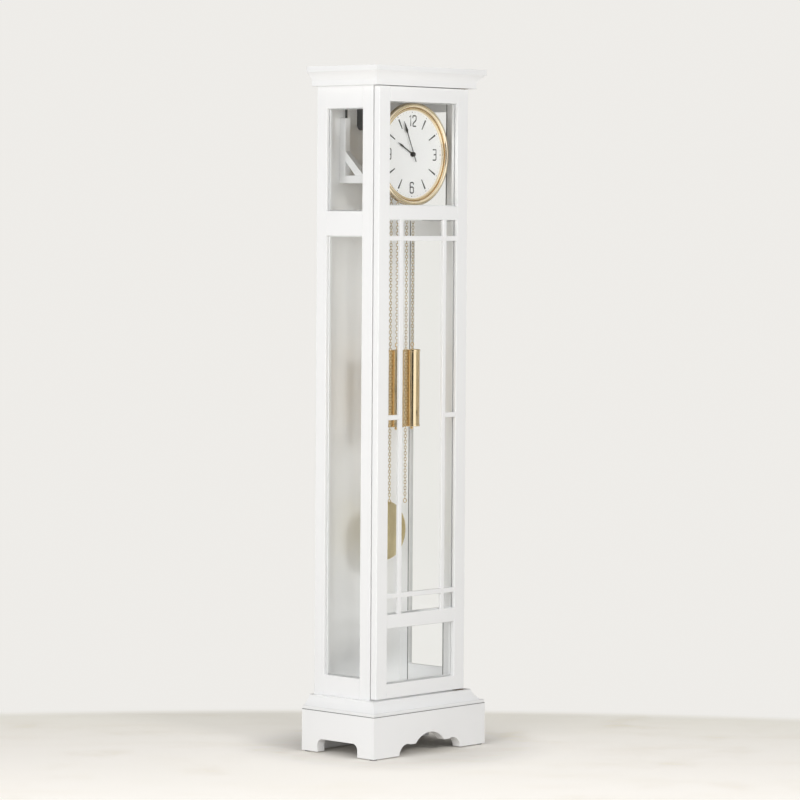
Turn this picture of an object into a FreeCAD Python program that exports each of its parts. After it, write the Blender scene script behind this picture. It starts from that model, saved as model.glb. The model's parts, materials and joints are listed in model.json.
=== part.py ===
import FreeCAD, Part
import math
import os
import Sketcher
from FreeCAD import Placement, Rotation, Vector

# A slim, white painted longcase clock in millimetres.
# The origin is on the floor under the middle of the plinth, +X to the right as seen from
# the front, +Y from the front to the back and +Z up.

os.makedirs("parts", exist_ok=True)
doc = FreeCAD.newDocument("LongcaseClock")
sheet = doc.addObject("Spreadsheet::Sheet", "Sizes")

# Driving sizes, one group for each part of the clock
SIZES = {
    # Whole clock
    "overall_height": 1900,
    "arris": 0.8,
    "overrun": 5,
    "seat_gap": 0.3,
    # Plinth
    "plinth_side_reach": 48.5,
    "plinth_depth": 274,
    "plinth_height": 118,
    "plinth_board": 28,
    "glide_height": 3,
    "glide_radius": 11,
    "foot_length": 104,
    "foot_cove_length": 46,
    "foot_cove_radius": 33.5,
    "foot_step_height": 31,
    "foot_step_length": 21,
    "apron_arch_rise": 27,
    "side_foot_front": 61.5,
    "side_foot_back": 60,
    "side_cut_rise": 40,
    "side_cut_radius": 18,
    # Base moulding round the case
    "base_moulding_height": 38,
    "base_fillet_height": 9,
    "base_fillet_inset": 2,
    "base_quirk_inset": 8,
    "base_top_fillet": 4,
    "base_cove_end_inset": 28,
    "base_cove_radius": 50,
    # Case
    "dial_side_gap": 19.5,
    "plinth_front_reach": 37.5,
    "side_thickness": 19,
    "side_front_stile": 39,
    "side_back_stile": 37.5,
    "side_bottom_rail": 56.5,
    "side_middle_rail": 68,
    "side_upper_window": 282.5,
    "side_top_rail": 62,
    "case_floor_thickness": 18,
    "case_top_thickness": 18,
    "back_thickness": 8,
    "pane_thickness": 3,
    "pane_inset": 8,
    "bead_width": 2.5,
    # Cornice
    "cornice_height": 53,
    "cornice_side_reach": 43.5,
    "cornice_front_reach": 30,
    "cornice_fascia": 14.5,
    "cornice_cove_height": 23.5,
    "cornice_cove_inset": 20,
    "cornice_cove_radius": 60,
    "cornice_seat": 16,
    "crown_thickness": 15,
    "crown_recess": 3,
    # Door
    "door_thickness": 20,
    "door_gap": 4.4,
    "door_bottom_gap": 3.8,
    "door_top_gap": 2.2,
    "door_stile_width": 43,
    "door_top_rail": 40.8,
    "door_middle_rail": 38.5,
    "door_lower_rail": 38.5,
    "door_lower_window": 153.6,
    "door_bottom_rail": 39.6,
    "bar_width": 13.5,
    "bar_depth": 9,
    "bar_inset": 50,
    "top_bar_drop": 57.9,
    "low_bar_rise": 44.5,
    # Door hinges and catch
    "pivot_inset": 8,
    "pivot_setback": 7,
    "pivot_radius": 2.5,
    "pivot_length": 16,
    "pivot_clearance": 0.08,
    "leaf_thickness": 1.5,
    "fixed_leaf_thickness": 1.2,
    "leaf_length": 34,
    "leaf_margin": 1,
    "catch_height": 24,
    "catch_width": 12,
    "catch_depth": 20,
    "catch_plate_thickness": 1.6,
    # Movement seat
    "bracket_thickness": 20,
    "bracket_arm_height": 21.5,
    "bracket_post_depth": 22,
    "bracket_post_height": 159.5,
    "strut_top_rise": 67.5,
    "strut_top_reach": 71,
    "strut_low_rise": 40.5,
    "strut_low_reach": 39,
    "seat_board_thickness": 15,
    "seat_front_reach": 12,
    "seat_back_reach": 8,
    "chain_slot_end_gap": 10,
    "seat_end": 6,
    "chain_slot_width": 16,
    "hanger_radius": 3.5,
    "hanger_inset": 15,
    # Movement
    "plate_height": 160,
    "plate_thickness": 2.5,
    "plate_space": 49,
    "pillar_radius": 4.5,
    "pillar_inset": 7,
    "arbor_radius": 2.5,
    "running_clearance": 0.1,
    "sprocket_drop": 21,
    "sprocket_pitch": 13,
    "flange_rise": 3,
    "flange_thickness": 1.2,
    "chain_width": 5,
    "chain_side_play": 0.5,
    "great_wheel_radius": 21,
    "wheel_thickness": 2,
    "great_wheel_offset": 9,
    "pinion_radius": 4.5,
    "mesh_gap": 0.5,
    "second_wheel_radius": 17,
    "centre_rise": 59.5,
    "dial_setback": 46,
    "dial_lap": 5,
    "dial_thickness": 1.5,
    "dial_hole": 7,
    "dial_post_offset": 52,
    "dial_post_radius": 3.5,
    "dial_post_length": 24.5,
    "bezel_outer": 143,
    "bezel_width": 21.4,
    "bezel_depth": 12,
    "bezel_step_width": 7.4,
    "bezel_step_depth": 5,
    "bezel_lip": 2.5,
    "bezel_roll": 5,
    "minute_hand_end_gap": 21.6,
    "minute_hand_tail": 22,
    "minute_hand_lift": 8,
    "hour_hand_length": 68,
    "hour_hand_lift": 4,
    "minute_hand_width": 2.6,
    "minute_hand_hub": 5,
    "hour_hand_width": 3.2,
    "hour_hand_tail": 10,
    "hour_hand_hub": 7,
    "hand_thickness": 0.8,
    "minute_arbor_radius": 2.6,
    "hour_pipe_radius": 5,
    # Escapement and pendulum
    "escape_wheel_radius": 13.5,
    "escape_wheel_rise": 17,
    "escape_wheel_gap": 3.5,
    "verge_gap": 6,
    "anchor_thickness": 3,
    "pallet_gap": 1.2,
    "verge_radius": 1.5,
    "crutch_setback": 8,
    "crutch_thickness": 1.5,
    "crutch_width": 4,
    "crutch_length": 62,
    "fork_play": 0.4,
    "fork_wire": 1.5,
    "cock_width": 26,
    "cock_wall": 3,
    "cock_rise": 7,
    "cock_drop": 8,
    "cock_overhang": 5,
    "spring_width": 6,
    "spring_thickness": 0.8,
    "stem_radius": 2,
    "pendulum_gap": 15,
    "pendulum_length": 1089.5,
    "bob_radius": 83,
    "bob_thickness": 20,
    "bob_edge": 8,
    "rod_width": 11,
    "rod_thickness": 4,
    "rod_tail": 96,
    "suspension_drop": 22,
    "rating_nut_radius": 9,
    "rating_nut_height": 7,
    # Weights and chains
    "strand_gap": 12,
    "weight_drop": 739,
    "weight_height": 216,
    "weight_radius": 21.5,
    "weight_cap_radius": 22.6,
    "weight_cap_height": 7,
    "finial_radius": 5,
    "finial_drop": 9,
    "hook_radius": 5.5,
    "hook_wire": 1.5,
    "hook_neck": 8,
    "free_chain_length": 940,
    "ring_radius": 5.5,
    "ring_wire": 1.2,
    # Chime
    "chime_block_width": 86,
    "chime_block_height": 71,
    "chime_block_gap": 29,
    "chime_block_depth": 23,
    "chime_block_corner": 16,
    "chime_rod_radius": 1.6,
    "chime_rod_pitch": 6.5,
    "chime_rod_first": 14,
    "chime_rod_longest": 520,
    "chime_rod_step": 42,
    "hammer_length": 15,
    "hammer_depth": 6,
    "hammer_drop": 15.5,
    "hammer_gap": 2,
    "hammer_side_gap": 1.5,
    "hammer_hub_radius": 3.5,
    "hammer_arm": 2.4,
    "hammer_pivot_radius": 1.5,
    "hammer_pivot_reach": 6,
}
for row, (alias, number) in enumerate(SIZES.items(), 1):
    sheet.set(f"A{row}", alias)
    sheet.set(f"B{row}", str(number))
    sheet.setAlias(f"B{row}", alias)
doc.recompute()


class Size:
    """A number together with the sheet formula that gives it."""

    def __init__(self, number, formula):
        self.number = float(number)
        self.formula = formula

    @staticmethod
    def of(thing):
        return thing if isinstance(thing, Size) else Size(thing, repr(thing))

    def __add__(self, other):
        other = Size.of(other)
        return Size(self.number + other.number, f"({self.formula} + {other.formula})")

    def __sub__(self, other):
        other = Size.of(other)
        return Size(self.number - other.number, f"({self.formula} - {other.formula})")

    def __mul__(self, other):
        other = Size.of(other)
        return Size(self.number * other.number, f"({self.formula} * {other.formula})")

    def __truediv__(self, other):
        other = Size.of(other)
        return Size(self.number / other.number, f"({self.formula} / {other.formula})")

    def __rsub__(self, other):
        return Size.of(other) - self

    def __neg__(self):
        return Size(-self.number, f"(0 - {self.formula})")

    def __float__(self):
        return self.number

    __radd__ = __add__
    __rmul__ = __mul__


class Sizes:
    """Every named size of the sheet as an attribute."""

    def __init__(self, names):
        for alias in names:
            setattr(self, alias, Size(sheet.get(alias), f"{sheet.Name}.{alias}"))


s = Sizes(SIZES)
nodes = []

# Widths: the dial sets the case, and the chains set the movement and its brackets
inner_case = s.bezel_outer + s.dial_side_gap
half_case = inner_case + s.side_thickness
half_plinth = half_case + s.plinth_side_reach
door_opening = half_case - s.door_stile_width
bezel_inner = s.bezel_outer - s.bezel_width
dial_radius = s.bezel_outer - s.dial_lap
weight_spacing = s.sprocket_pitch * 4 + s.strand_gap
seat_half = weight_spacing + s.chain_slot_end_gap + s.seat_end
bracket_outer = seat_half + s.bracket_thickness

# Depths, from the plinth's front to the back and from the door to the pendulum
plinth_front_face = -s.plinth_depth / 2
door_front = plinth_front_face + s.plinth_front_reach
door_back = door_front + s.door_thickness
case_front = door_back + s.door_gap
case_back = s.plinth_depth / 2
back_panel_front = case_back - s.back_thickness
dial_y = door_front + s.dial_setback
dial_back = dial_y + s.dial_thickness
plate_front_y = dial_back + s.dial_post_length
plate_inner_y = plate_front_y + s.plate_thickness
back_plate_y = plate_inner_y + s.plate_space
movement_back_y = back_plate_y + s.plate_thickness
chain_y = plate_inner_y + s.plate_space / 2
escape_wheel_y = back_plate_y - s.escape_wheel_gap - s.wheel_thickness
pendulum_y = movement_back_y + s.pendulum_gap
seat_front = plate_front_y - s.seat_front_reach
seat_back = movement_back_y + s.seat_back_reach

# Heights, up from the floor and down from the cornice
base_top = s.plinth_height + s.base_moulding_height
cornice_bottom = s.overall_height - s.cornice_height
case_top_bottom = cornice_bottom - s.case_top_thickness
door_bottom = base_top + s.door_bottom_gap
door_top = cornice_bottom - s.door_top_gap
top_rail_bottom = door_top - s.door_top_rail
middle_rail_top = top_rail_bottom - s.bezel_outer * 2
middle_rail_bottom = middle_rail_top - s.door_middle_rail
bottom_rail_top = door_bottom + s.door_bottom_rail
lower_rail_bottom = bottom_rail_top + s.door_lower_window
lower_rail_top = lower_rail_bottom + s.door_lower_rail
centre_height = top_rail_bottom - s.bezel_outer
seat_top = centre_height - s.centre_rise
sprocket_height = centre_height - s.sprocket_drop
escape_wheel_height = centre_height + s.escape_wheel_rise
verge_height = escape_wheel_height + s.escape_wheel_radius + s.verge_gap
bob_height = verge_height - s.pendulum_length
weight_bottom = sprocket_height - s.weight_drop
free_chain_end = sprocket_height - s.free_chain_length


def bind(thing, **sizes):
    """Bind properties of an object to sheet formulas."""
    for name, amount in sizes.items():
        thing.setExpression(name, Size.of(amount).formula)


def place(thing, x=0, y=0, z=0):
    """Bind an object's position to sheet formulas."""
    for axis, amount in (("x", x), ("y", y), ("z", z)):
        if isinstance(amount, Size):
            thing.setExpression(f"Placement.Base.{axis}", amount.formula)
    return thing


def piece(thing, name):
    """Name a finished sub-part."""
    thing.Label = name
    nodes.append(thing)
    return thing


def new_body(name):
    body = doc.addObject("PartDesign::Body", name)
    body.Label = name
    return body


def group(name, members):
    """One sub-part of several separate solids."""
    compound = doc.addObject("Part::Compound", name)
    compound.Links = members
    return piece(compound, name)


EDGES_ALONG = {
    "x": ["Edge9", "Edge10", "Edge11", "Edge12"],
    "y": ["Edge2", "Edge4", "Edge6", "Edge8"],
    "z": ["Edge1", "Edge3", "Edge5", "Edge7"],
}


def board(name, low, high, along=None):
    """A board between two corners, with its edges eased along the grain."""
    body = new_body(name)
    blank = body.newObject("PartDesign::AdditiveBox", f"{name}_blank")
    bind(blank, Length=high[0] - low[0], Width=high[1] - low[1], Height=high[2] - low[2])
    if along:
        doc.recompute()
        ease = body.newObject("PartDesign::Chamfer", f"{name}_arris")
        ease.Base = (blank, EDGES_ALONG[along])
        bind(ease, Size=s.arris)
        body.Tip = ease
    return place(body, *low)


def sketch_on(body, plane):
    sketch = body.newObject("Sketcher::SketchObject", f"{body.Name}_sketch")
    support = [item for item in body.Origin.OriginFeatures if item.Role == f"{plane}_Plane"]
    sketch.AttachmentSupport = [(support[0], "")]
    sketch.MapMode = "FlatFace"
    return sketch


def pin_point(sketch, edge, end, x, y):
    """Hold one point of a sketch at its place from the origin."""
    for kind, amount, axis in (("DistanceX", x, -2), ("DistanceY", y, -1)):
        if float(amount) == 0:
            sketch.addConstraint(Sketcher.Constraint("PointOnObject", edge, end, axis))
            continue
        rule = Sketcher.Constraint(kind, -1, 1, edge, end, float(amount))
        number = sketch.addConstraint(rule)
        sketch.setExpression(f"Constraints[{number}]", Size.of(amount).formula)


def set_radius(sketch, edge, radius):
    number = sketch.addConstraint(Sketcher.Constraint("Radius", edge, abs(float(radius))))
    sketch.setExpression(f"Constraints[{number}]", radius.formula)


def arc_between(start, finish, radius, turn):
    """The short arc from start to finish: turn is 1 to the left, -1 to the right."""
    chord = finish - start
    height = math.sqrt(max(radius ** 2 - (chord.Length / 2) ** 2, 0))
    left = Vector(-chord.y, chord.x, 0).normalize()
    centre = (start + finish) / 2 + left * height * turn
    first, last = (start, finish) if turn > 0 else (finish, start)
    angles = [math.atan2(point.y - centre.y, point.x - centre.x) for point in (first, last)]
    return Part.ArcOfCircle(Part.Circle(centre, Vector(0, 0, 1), radius), *angles)


def outline(sketch, *corners):
    """A closed outline: each corner is (x, y), or (x, y, radius, turn) at an arc's end."""
    edges = []
    for start, finish in zip(corners[-1:] + corners[:-1], corners):
        ends = [Vector(float(point[0]), float(point[1]), 0) for point in (start, finish)]
        if len(finish) == 2:
            edge = sketch.addGeometry(Part.LineSegment(*ends), False)
            edges.append((edge, 1, 2, finish))
        else:
            radius, turn = finish[2:]
            edge = sketch.addGeometry(arc_between(*ends, float(radius), turn), False)
            edges.append((edge, 1, 2, finish) if turn > 0 else (edge, 2, 1, finish))
            set_radius(sketch, edge, radius)
    for (edge, _, end, finish), (after, begin, _, _) in zip(edges, edges[1:] + edges[:1]):
        sketch.addConstraint(Sketcher.Constraint("Coincident", edge, end, after, begin))
        pin_point(sketch, edge, end, finish[0], finish[1])
    return sketch


def circle(sketch, x, y, radius):
    shape = Part.Circle(Vector(float(x), float(y), 0), Vector(0, 0, 1), float(radius))
    edge = sketch.addGeometry(shape, False)
    pin_point(sketch, edge, 3, x, y)
    set_radius(sketch, edge, Size.of(radius))
    return sketch


def pad(body, sketch, length, back=False):
    feature = body.newObject("PartDesign::Pad", f"{body.Name}_pad")
    feature.Profile = sketch
    feature.Reversed = back
    bind(feature, Length=length)
    body.Tip = feature
    return feature


def pocket(body, sketch, depth, back=False):
    feature = body.newObject("PartDesign::Pocket", f"{body.Name}_pocket")
    feature.Profile = sketch
    feature.Reversed = back
    bind(feature, Length=depth)
    body.Tip = feature
    return feature


def turned(body, sketch, axis="V_Axis"):
    feature = body.newObject("PartDesign::Revolution", f"{body.Name}_turning")
    feature.Profile = sketch
    feature.ReferenceAxis = (sketch, [axis])
    feature.Angle = 360
    body.Tip = feature
    return feature


def disc(name, radius, thickness, x, y, z, hole=None):
    """A flat disc or ring that faces the front, its front face at y."""
    body = new_body(name)
    sketch = circle(sketch_on(body, "XZ"), 0, 0, radius)
    if hole is not None:
        circle(sketch, 0, 0, hole)
    pad(body, sketch, thickness, back=True)
    return place(body, x, y, z)


def upright(name, radius, height, x, y, z):
    """A round upright post with its foot at z."""
    body = new_body(name)
    pad(body, circle(sketch_on(body, "XY"), 0, 0, radius), height)
    return place(body, x, y, z)


# Shape of a straight cut tooth gap, as shares of the pitch along the rim
tooth_depth_share = 0.62
tooth_root_share = 0.18
tooth_tip_share = 0.3


def toothed_wheel(name, radius, teeth, thickness, hole, x, y, z):
    """A wheel with straight cut teeth, its front face at y."""
    body = new_body(name)
    sketch = circle(circle(sketch_on(body, "XZ"), 0, 0, radius), 0, 0, hole)
    pad(body, sketch, thickness, back=True)
    doc.recompute()
    pitch = radius * (2 * math.pi / teeth)
    depth = pitch * tooth_depth_share
    gap = outline(
        sketch_on(body, "XZ"),
        (-pitch * tooth_root_share, radius - depth),
        (pitch * tooth_root_share, radius - depth),
        (pitch * tooth_tip_share, radius + pitch * tooth_root_share),
        (-pitch * tooth_tip_share, radius + pitch * tooth_root_share),
    )
    cut = pocket(body, gap, thickness + s.overrun)
    doc.recompute()
    pattern = body.newObject("PartDesign::PolarPattern", f"{name}_teeth")
    pattern.Originals = [cut]
    pattern.Axis = (gap, ["N_Axis"])
    pattern.Angle = 360
    pattern.Occurrences = teeth
    body.Tip = pattern
    return place(body, x, y, z)


# Plinth: a scalloped front board between the feet, two arched sides and a back rail
def plinth_front():
    body = new_body("plinth_front")
    bottom, step = s.glide_height, s.foot_step_height
    foot_inner = half_plinth - s.foot_length
    step_start = foot_inner - s.foot_cove_length
    step_end = step_start - s.foot_step_length
    rise = s.apron_arch_rise
    arch_radius = (step_end * step_end + rise * rise) / (rise * 2)
    sketch = outline(
        sketch_on(body, "XZ"),
        (-half_plinth, bottom),
        (-foot_inner, bottom),
        (-step_start, step, s.foot_cove_radius, -1),
        (-step_end, step),
        (step_end, step, arch_radius, -1),
        (step_start, step),
        (foot_inner, bottom, s.foot_cove_radius, -1),
        (half_plinth, bottom),
        (half_plinth, s.plinth_height),
        (-half_plinth, s.plinth_height),
    )
    pad(body, sketch, s.plinth_board, back=True)
    piece(place(body, y=plinth_front_face), "plinth_front")


def plinth_side(name, x):
    body = new_body(name)
    bottom, radius = s.glide_height, s.side_cut_radius
    front = plinth_front_face + s.plinth_board
    cut_front = plinth_front_face + s.side_foot_front
    cut_back = case_back - s.side_foot_back
    sketch = outline(
        sketch_on(body, "YZ"),
        (front, bottom),
        (cut_front, bottom),
        (cut_front, s.side_cut_rise - radius),
        (cut_front + radius, s.side_cut_rise, radius, -1),
        (cut_back - radius, s.side_cut_rise),
        (cut_back, s.side_cut_rise - radius, radius, -1),
        (cut_back, bottom),
        (case_back, bottom),
        (case_back, s.plinth_height),
        (front, s.plinth_height),
    )
    pad(body, sketch, s.plinth_board)
    return place(body, x=x)


def plinth():
    plinth_front()
    inner = half_plinth - s.plinth_board
    sides = [plinth_side("plinth_side_left", -half_plinth), plinth_side("plinth_side_right", inner)]
    group("plinth_sides", sides)
    rail = board(
        "plinth_back_rail",
        (-inner, case_back - s.plinth_board, s.glide_height),
        (inner, case_back, s.plinth_height),
        along="x",
    )
    piece(rail, "plinth_back_rail")
    reach_x = half_plinth - s.plinth_board / 2
    reach_y = case_back - s.plinth_board / 2
    glides = []
    for number, (side, end) in enumerate(((-1, -1), (1, -1), (-1, 1), (1, 1)), 1):
        spot = (reach_x * side, reach_y * end, 0)
        glides.append(upright(f"glide_{number}", s.glide_radius, s.glide_height, *spot))
    group("levelling_glides", glides)


# Mouldings: one profile run along the front and both sides, mitred at the front corners
def moulding_run(sketch, edge, inward, inner, profile):
    """Draw a moulding's section: its outer edge at edge, insets counted inward."""
    corners = []
    for inset, height, *arc in profile:
        corner = (edge + inset * inward, height)
        corners.append(corner + ((arc[0], arc[1] * inward) if arc else ()))
    corners += [(inner, profile[-1][1]), (inner, profile[0][1])]
    return outline(sketch, *corners)


def mitred_surround(name, half_width, front, inner_half, inner_front, profile):
    ledge = half_width - inner_half
    front_body = new_body(f"{name}_front")
    pad(front_body, moulding_run(sketch_on(front_body, "YZ"), front, 1, inner_front, profile),
        half_width * 2)
    place(front_body, x=-half_width)
    runs = [front_body]
    for side in (-1, 1):
        waste = outline(
            sketch_on(front_body, "XY"),
            (half_width + half_width * side, front),
            (half_width + inner_half * side, front + ledge),
            (half_width + inner_half * side, inner_front + s.overrun),
            (half_width + half_width * side, inner_front + s.overrun),
        )
        pocket(front_body, waste, s.overall_height, back=True)
    for side, word in ((-1, "left"), (1, "right")):
        body = new_body(f"{name}_{word}")
        section = moulding_run(sketch_on(body, "XZ"), half_width * side, -side,
                               inner_half * side, profile)
        pad(body, section, case_back - front, back=True)
        waste = outline(
            sketch_on(body, "XY"),
            (half_width * side, 0),
            (inner_half * side, ledge),
            (inner_half * side, 0),
        )
        pocket(body, waste, s.overall_height, back=True)
        place(body, y=front)
        runs.append(body)
    group(name, runs)


def base_moulding():
    bottom = s.plinth_height
    fillet_top = bottom + s.base_fillet_height
    profile = (
        (s.base_fillet_inset, bottom),
        (s.base_fillet_inset, fillet_top),
        (s.base_quirk_inset, fillet_top),
        (s.base_cove_end_inset, base_top - s.base_top_fillet, s.base_cove_radius, 1),
        (s.base_cove_end_inset, base_top),
    )
    mitred_surround("base_moulding", half_plinth, plinth_front_face, half_case, case_front, profile)


def cornice():
    fascia_bottom = s.overall_height - s.cornice_fascia
    profile = (
        (s.cornice_cove_inset, cornice_bottom),
        (s.cornice_cove_inset, fascia_bottom - s.cornice_cove_height),
        (Size(0, "0"), fascia_bottom, s.cornice_cove_radius, 1),
        (Size(0, "0"), s.overall_height),
    )
    half_width = half_case + s.cornice_side_reach
    inner_front = case_front + s.cornice_seat
    front = door_front - s.cornice_front_reach
    mitred_surround("cornice", half_width, front, inner_case, inner_front, profile)
    crown_top = s.overall_height - s.crown_recess
    crown = board(
        "crown_board",
        (-inner_case, inner_front, crown_top - s.crown_thickness),
        (inner_case, case_back, crown_top),
    )
    piece(crown, "crown_board")


# Case: glazed side frames between a floor, a top and a closed back
opening_front = case_front + s.side_front_stile
opening_back = case_back - s.side_back_stile
side_bottom_rail_top = base_top + s.side_bottom_rail
side_top_rail_bottom = cornice_bottom - s.side_top_rail
side_middle_rail_top = side_top_rail_bottom - s.side_upper_window
side_middle_rail_bottom = side_middle_rail_top - s.side_middle_rail


def side_frame(name, left):
    right = left + s.side_thickness
    bottom, top = s.plinth_height, cornice_bottom
    members = [
        board(f"{name}_front_stile", (left, case_front, bottom), (right, opening_front, top), "z"),
        board(f"{name}_back_stile", (left, opening_back, bottom), (right, case_back, top), "z"),
    ]
    rails = (
        ("bottom", bottom, side_bottom_rail_top),
        ("middle", side_middle_rail_bottom, side_middle_rail_top),
        ("top", side_top_rail_bottom, top),
    )
    for word, low, high in rails:
        corners = (left, opening_front, low), (right, opening_back, high)
        members.append(board(f"{name}_{word}_rail", *corners, "y"))
    group(name, members)


def bead_frame(name, low, high, width, flat):
    """Four glazing beads inside a window; flat is the axis through the pane."""
    across = 1 - flat
    long_low, long_high = list(low), list(high)
    beads = []
    for word, edge in (("low", low[across]), ("high", high[across] - width)):
        long_low[across], long_high[across] = edge, edge + width
        beads.append(board(f"{name}_{word}", tuple(long_low), tuple(long_high)))
    short_low, short_high = list(low), list(high)
    short_low[across], short_high[across] = low[across] + width, high[across] - width
    for word, edge in (("bottom", low[2]), ("top", high[2] - width)):
        short_low[2], short_high[2] = edge, edge + width
        beads.append(board(f"{name}_{word}", tuple(short_low), tuple(short_high)))
    return beads


def side_glazing():
    panes, beads = [], []
    pane_back = s.pane_inset + s.pane_thickness
    openings = ((side_bottom_rail_top, side_middle_rail_bottom),
                (side_middle_rail_top, side_top_rail_bottom))
    for side, word in ((-1, "left"), (1, "right")):
        for number, (bottom, top) in enumerate(openings, 1):
            outer, inner = (s.pane_inset, pane_back) if side < 0 else (pane_back, s.pane_inset)
            low = (half_case * side - outer * side, opening_front, bottom)
            high = (half_case * side - inner * side, opening_back, top)
            panes.append(board(f"side_pane_{word}_{number}", low, high))
            bead_edges = sorted((half_case - pane_back, inner_case), key=float)
            low_x, high_x = bead_edges if side > 0 else [-edge for edge in bead_edges[::-1]]
            low = (low_x, opening_front, bottom)
            high = (high_x, opening_back, top)
            beads += bead_frame(f"side_bead_{word}_{number}", low, high, s.bead_width, flat=0)
    group("side_panes", panes)
    group("side_beads", beads)


def case():
    side_frame("side_frame_left", -half_case)
    side_frame("side_frame_right", inner_case)
    side_glazing()
    crown_bottom = s.overall_height - s.crown_recess - s.crown_thickness
    panels = (
        ("back_panel", back_panel_front, case_back, s.plinth_height, crown_bottom),
        ("case_floor", case_front, back_panel_front, base_top - s.case_floor_thickness, base_top),
        ("case_top", case_front, back_panel_front, case_top_bottom, cornice_bottom),
    )
    for name, front, back, bottom, top in panels:
        piece(board(name, (-inner_case, front, bottom), (inner_case, back, top)), name)


# Door: stiles and rails, three panes and the thin bars planted over the long pane
pane_front = door_front + s.bar_depth
pane_back = pane_front + s.pane_thickness
pivot_x = half_case - s.pivot_inset
pivot_y = door_front + s.pivot_setback
leaf_half = s.pivot_setback - s.leaf_margin


def door_stiles():
    for word, left in (("left", -half_case), ("right", door_opening)):
        name = f"door_stile_{word}"
        low = (left, door_front, door_bottom)
        high = (left + s.door_stile_width, door_back, door_top)
        stile = board(name, low, high, "z")
        if word == "right":
            cut_hinge_seats(stile)
        piece(stile, name)


def cut_hinge_seats(stile):
    """Let the two hinge leaves and their pins into the stile's ends."""
    local_x, local_y = pivot_x - door_opening, s.pivot_setback
    height = door_top - door_bottom
    leaf_left = s.door_stile_width - s.leaf_length
    for lift, back in ((0, True), (height, False)):
        recess = sketch_on(stile, "XY")
        outline(
            recess,
            (leaf_left, s.leaf_margin),
            (s.door_stile_width, s.leaf_margin),
            (s.door_stile_width, local_y + leaf_half),
            (leaf_left, local_y + leaf_half),
        )
        hole = circle(sketch_on(stile, "XY"), local_x, local_y, s.pivot_radius + s.pivot_clearance)
        for sketch, depth in ((recess, s.leaf_thickness), (hole, s.pivot_length + s.seat_gap)):
            sketch.setExpression("AttachmentOffset.Base.z", Size.of(lift).formula)
            pocket(stile, sketch, depth, back=back)


def door_rails():
    rails = (
        ("bottom", door_bottom, bottom_rail_top),
        ("lower", lower_rail_bottom, lower_rail_top),
        ("middle", middle_rail_bottom, middle_rail_top),
        ("top", top_rail_bottom, door_top),
    )
    members = []
    for word, low, high in rails:
        corners = (-door_opening, door_front, low), (door_opening, door_back, high)
        members.append(board(f"door_rail_{word}", *corners, "x"))
    group("door_rails", members)


def door_bars():
    """Two long upright bars and the short crossbars between them and the stiles."""
    bar_centre = door_opening - s.bar_inset
    bar_left, bar_right = bar_centre - s.bar_width / 2, bar_centre + s.bar_width / 2
    bars = []
    for number, left in enumerate((-bar_right, bar_left), 1):
        low = (left, door_front, lower_rail_top)
        high = (left + s.bar_width, pane_front, middle_rail_bottom)
        bars.append(board(f"door_upright_{number}", low, high, "z"))
    spans = ((-door_opening, -bar_right), (-bar_left, bar_left), (bar_right, door_opening))
    middle = (lower_rail_top + middle_rail_bottom - s.bar_width) / 2
    rows = (
        ("top", middle_rail_bottom - s.top_bar_drop, (0, 1, 2)),
        ("middle", middle, (0, 2)),
        ("low", lower_rail_top + s.low_bar_rise, (0, 1, 2)),
    )
    for word, bottom, columns in rows:
        for column in columns:
            left, right = spans[column]
            corners = (left, door_front, bottom), (right, pane_front, bottom + s.bar_width)
            bars.append(board(f"door_{word}_bar_{column + 1}", *corners, "x"))
    group("door_bars", bars)


def door_glazing():
    openings = (
        ("bottom", bottom_rail_top, lower_rail_bottom),
        ("long", lower_rail_top, middle_rail_bottom),
        ("dial", middle_rail_top, top_rail_bottom),
    )
    panes, beads = [], []
    for word, bottom, top in openings:
        low, high = (-door_opening, pane_front, bottom), (door_opening, pane_back, top)
        panes.append(board(f"door_pane_{word}", low, high))
        low, high = (-door_opening, pane_back, bottom), (door_opening, door_back, top)
        beads += bead_frame(f"door_bead_{word}", low, high, s.bead_width, flat=1)
    group("door_panes", panes)
    group("door_beads", beads)


def hinge_leaf(name, thickness, bore, x, y, z):
    body = new_body(name)
    sketch = outline(
        sketch_on(body, "XY"),
        (s.pivot_inset - s.leaf_length, -leaf_half),
        (s.pivot_inset, -leaf_half),
        (s.pivot_inset, leaf_half),
        (s.pivot_inset - s.leaf_length, leaf_half),
    )
    if bore is not None:
        circle(sketch, 0, 0, bore)
    pad(body, sketch, thickness)
    return place(body, x, y, z)


def door_hinges():
    """Pivot hinges at the right-hand corners: fixed leaves carry pins, door leaves turn on them."""
    bore = s.pivot_radius + s.pivot_clearance
    spots = (("bottom", door_bottom, base_top, 1), ("top", door_top, cornice_bottom, -1))
    fixed, moving = [], []
    for word, door_end, seat, way in spots:
        lift = 0 if way > 0 else -s.leaf_thickness
        moving.append(hinge_leaf(f"door_leaf_{word}", s.leaf_thickness, bore, pivot_x, pivot_y,
                                 door_end + lift))
        thickness = s.fixed_leaf_thickness
        leaf = hinge_leaf(f"fixed_leaf_{word}", thickness, None, pivot_x, pivot_y,
                          seat + (0 if way > 0 else -thickness))
        pin = circle(sketch_on(leaf, "XY"), 0, 0, s.pivot_radius)
        reach = s.pivot_length + (door_end - seat) * way
        if way < 0:
            pin.setExpression("AttachmentOffset.Base.z", thickness.formula)
        pad(leaf, pin, reach, back=way < 0)
        fixed.append(leaf)
    group("hinge_fixed_leaves", fixed)
    group("hinge_door_leaves", moving)


def door_catch():
    low_z = (door_bottom + door_top - s.catch_height) / 2
    plate_back = door_back + s.catch_plate_thickness
    corner = (-inner_case, plate_back + s.seat_gap, low_z)
    far = (s.catch_width - inner_case, plate_back + s.catch_depth, low_z + s.catch_height)
    piece(board("magnet_catch", corner, far), "magnet_catch")
    low = (-inner_case, door_back, low_z)
    high = (s.catch_width - inner_case, plate_back, low_z + s.catch_height)
    piece(board("catch_plate", low, high), "catch_plate")


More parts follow.
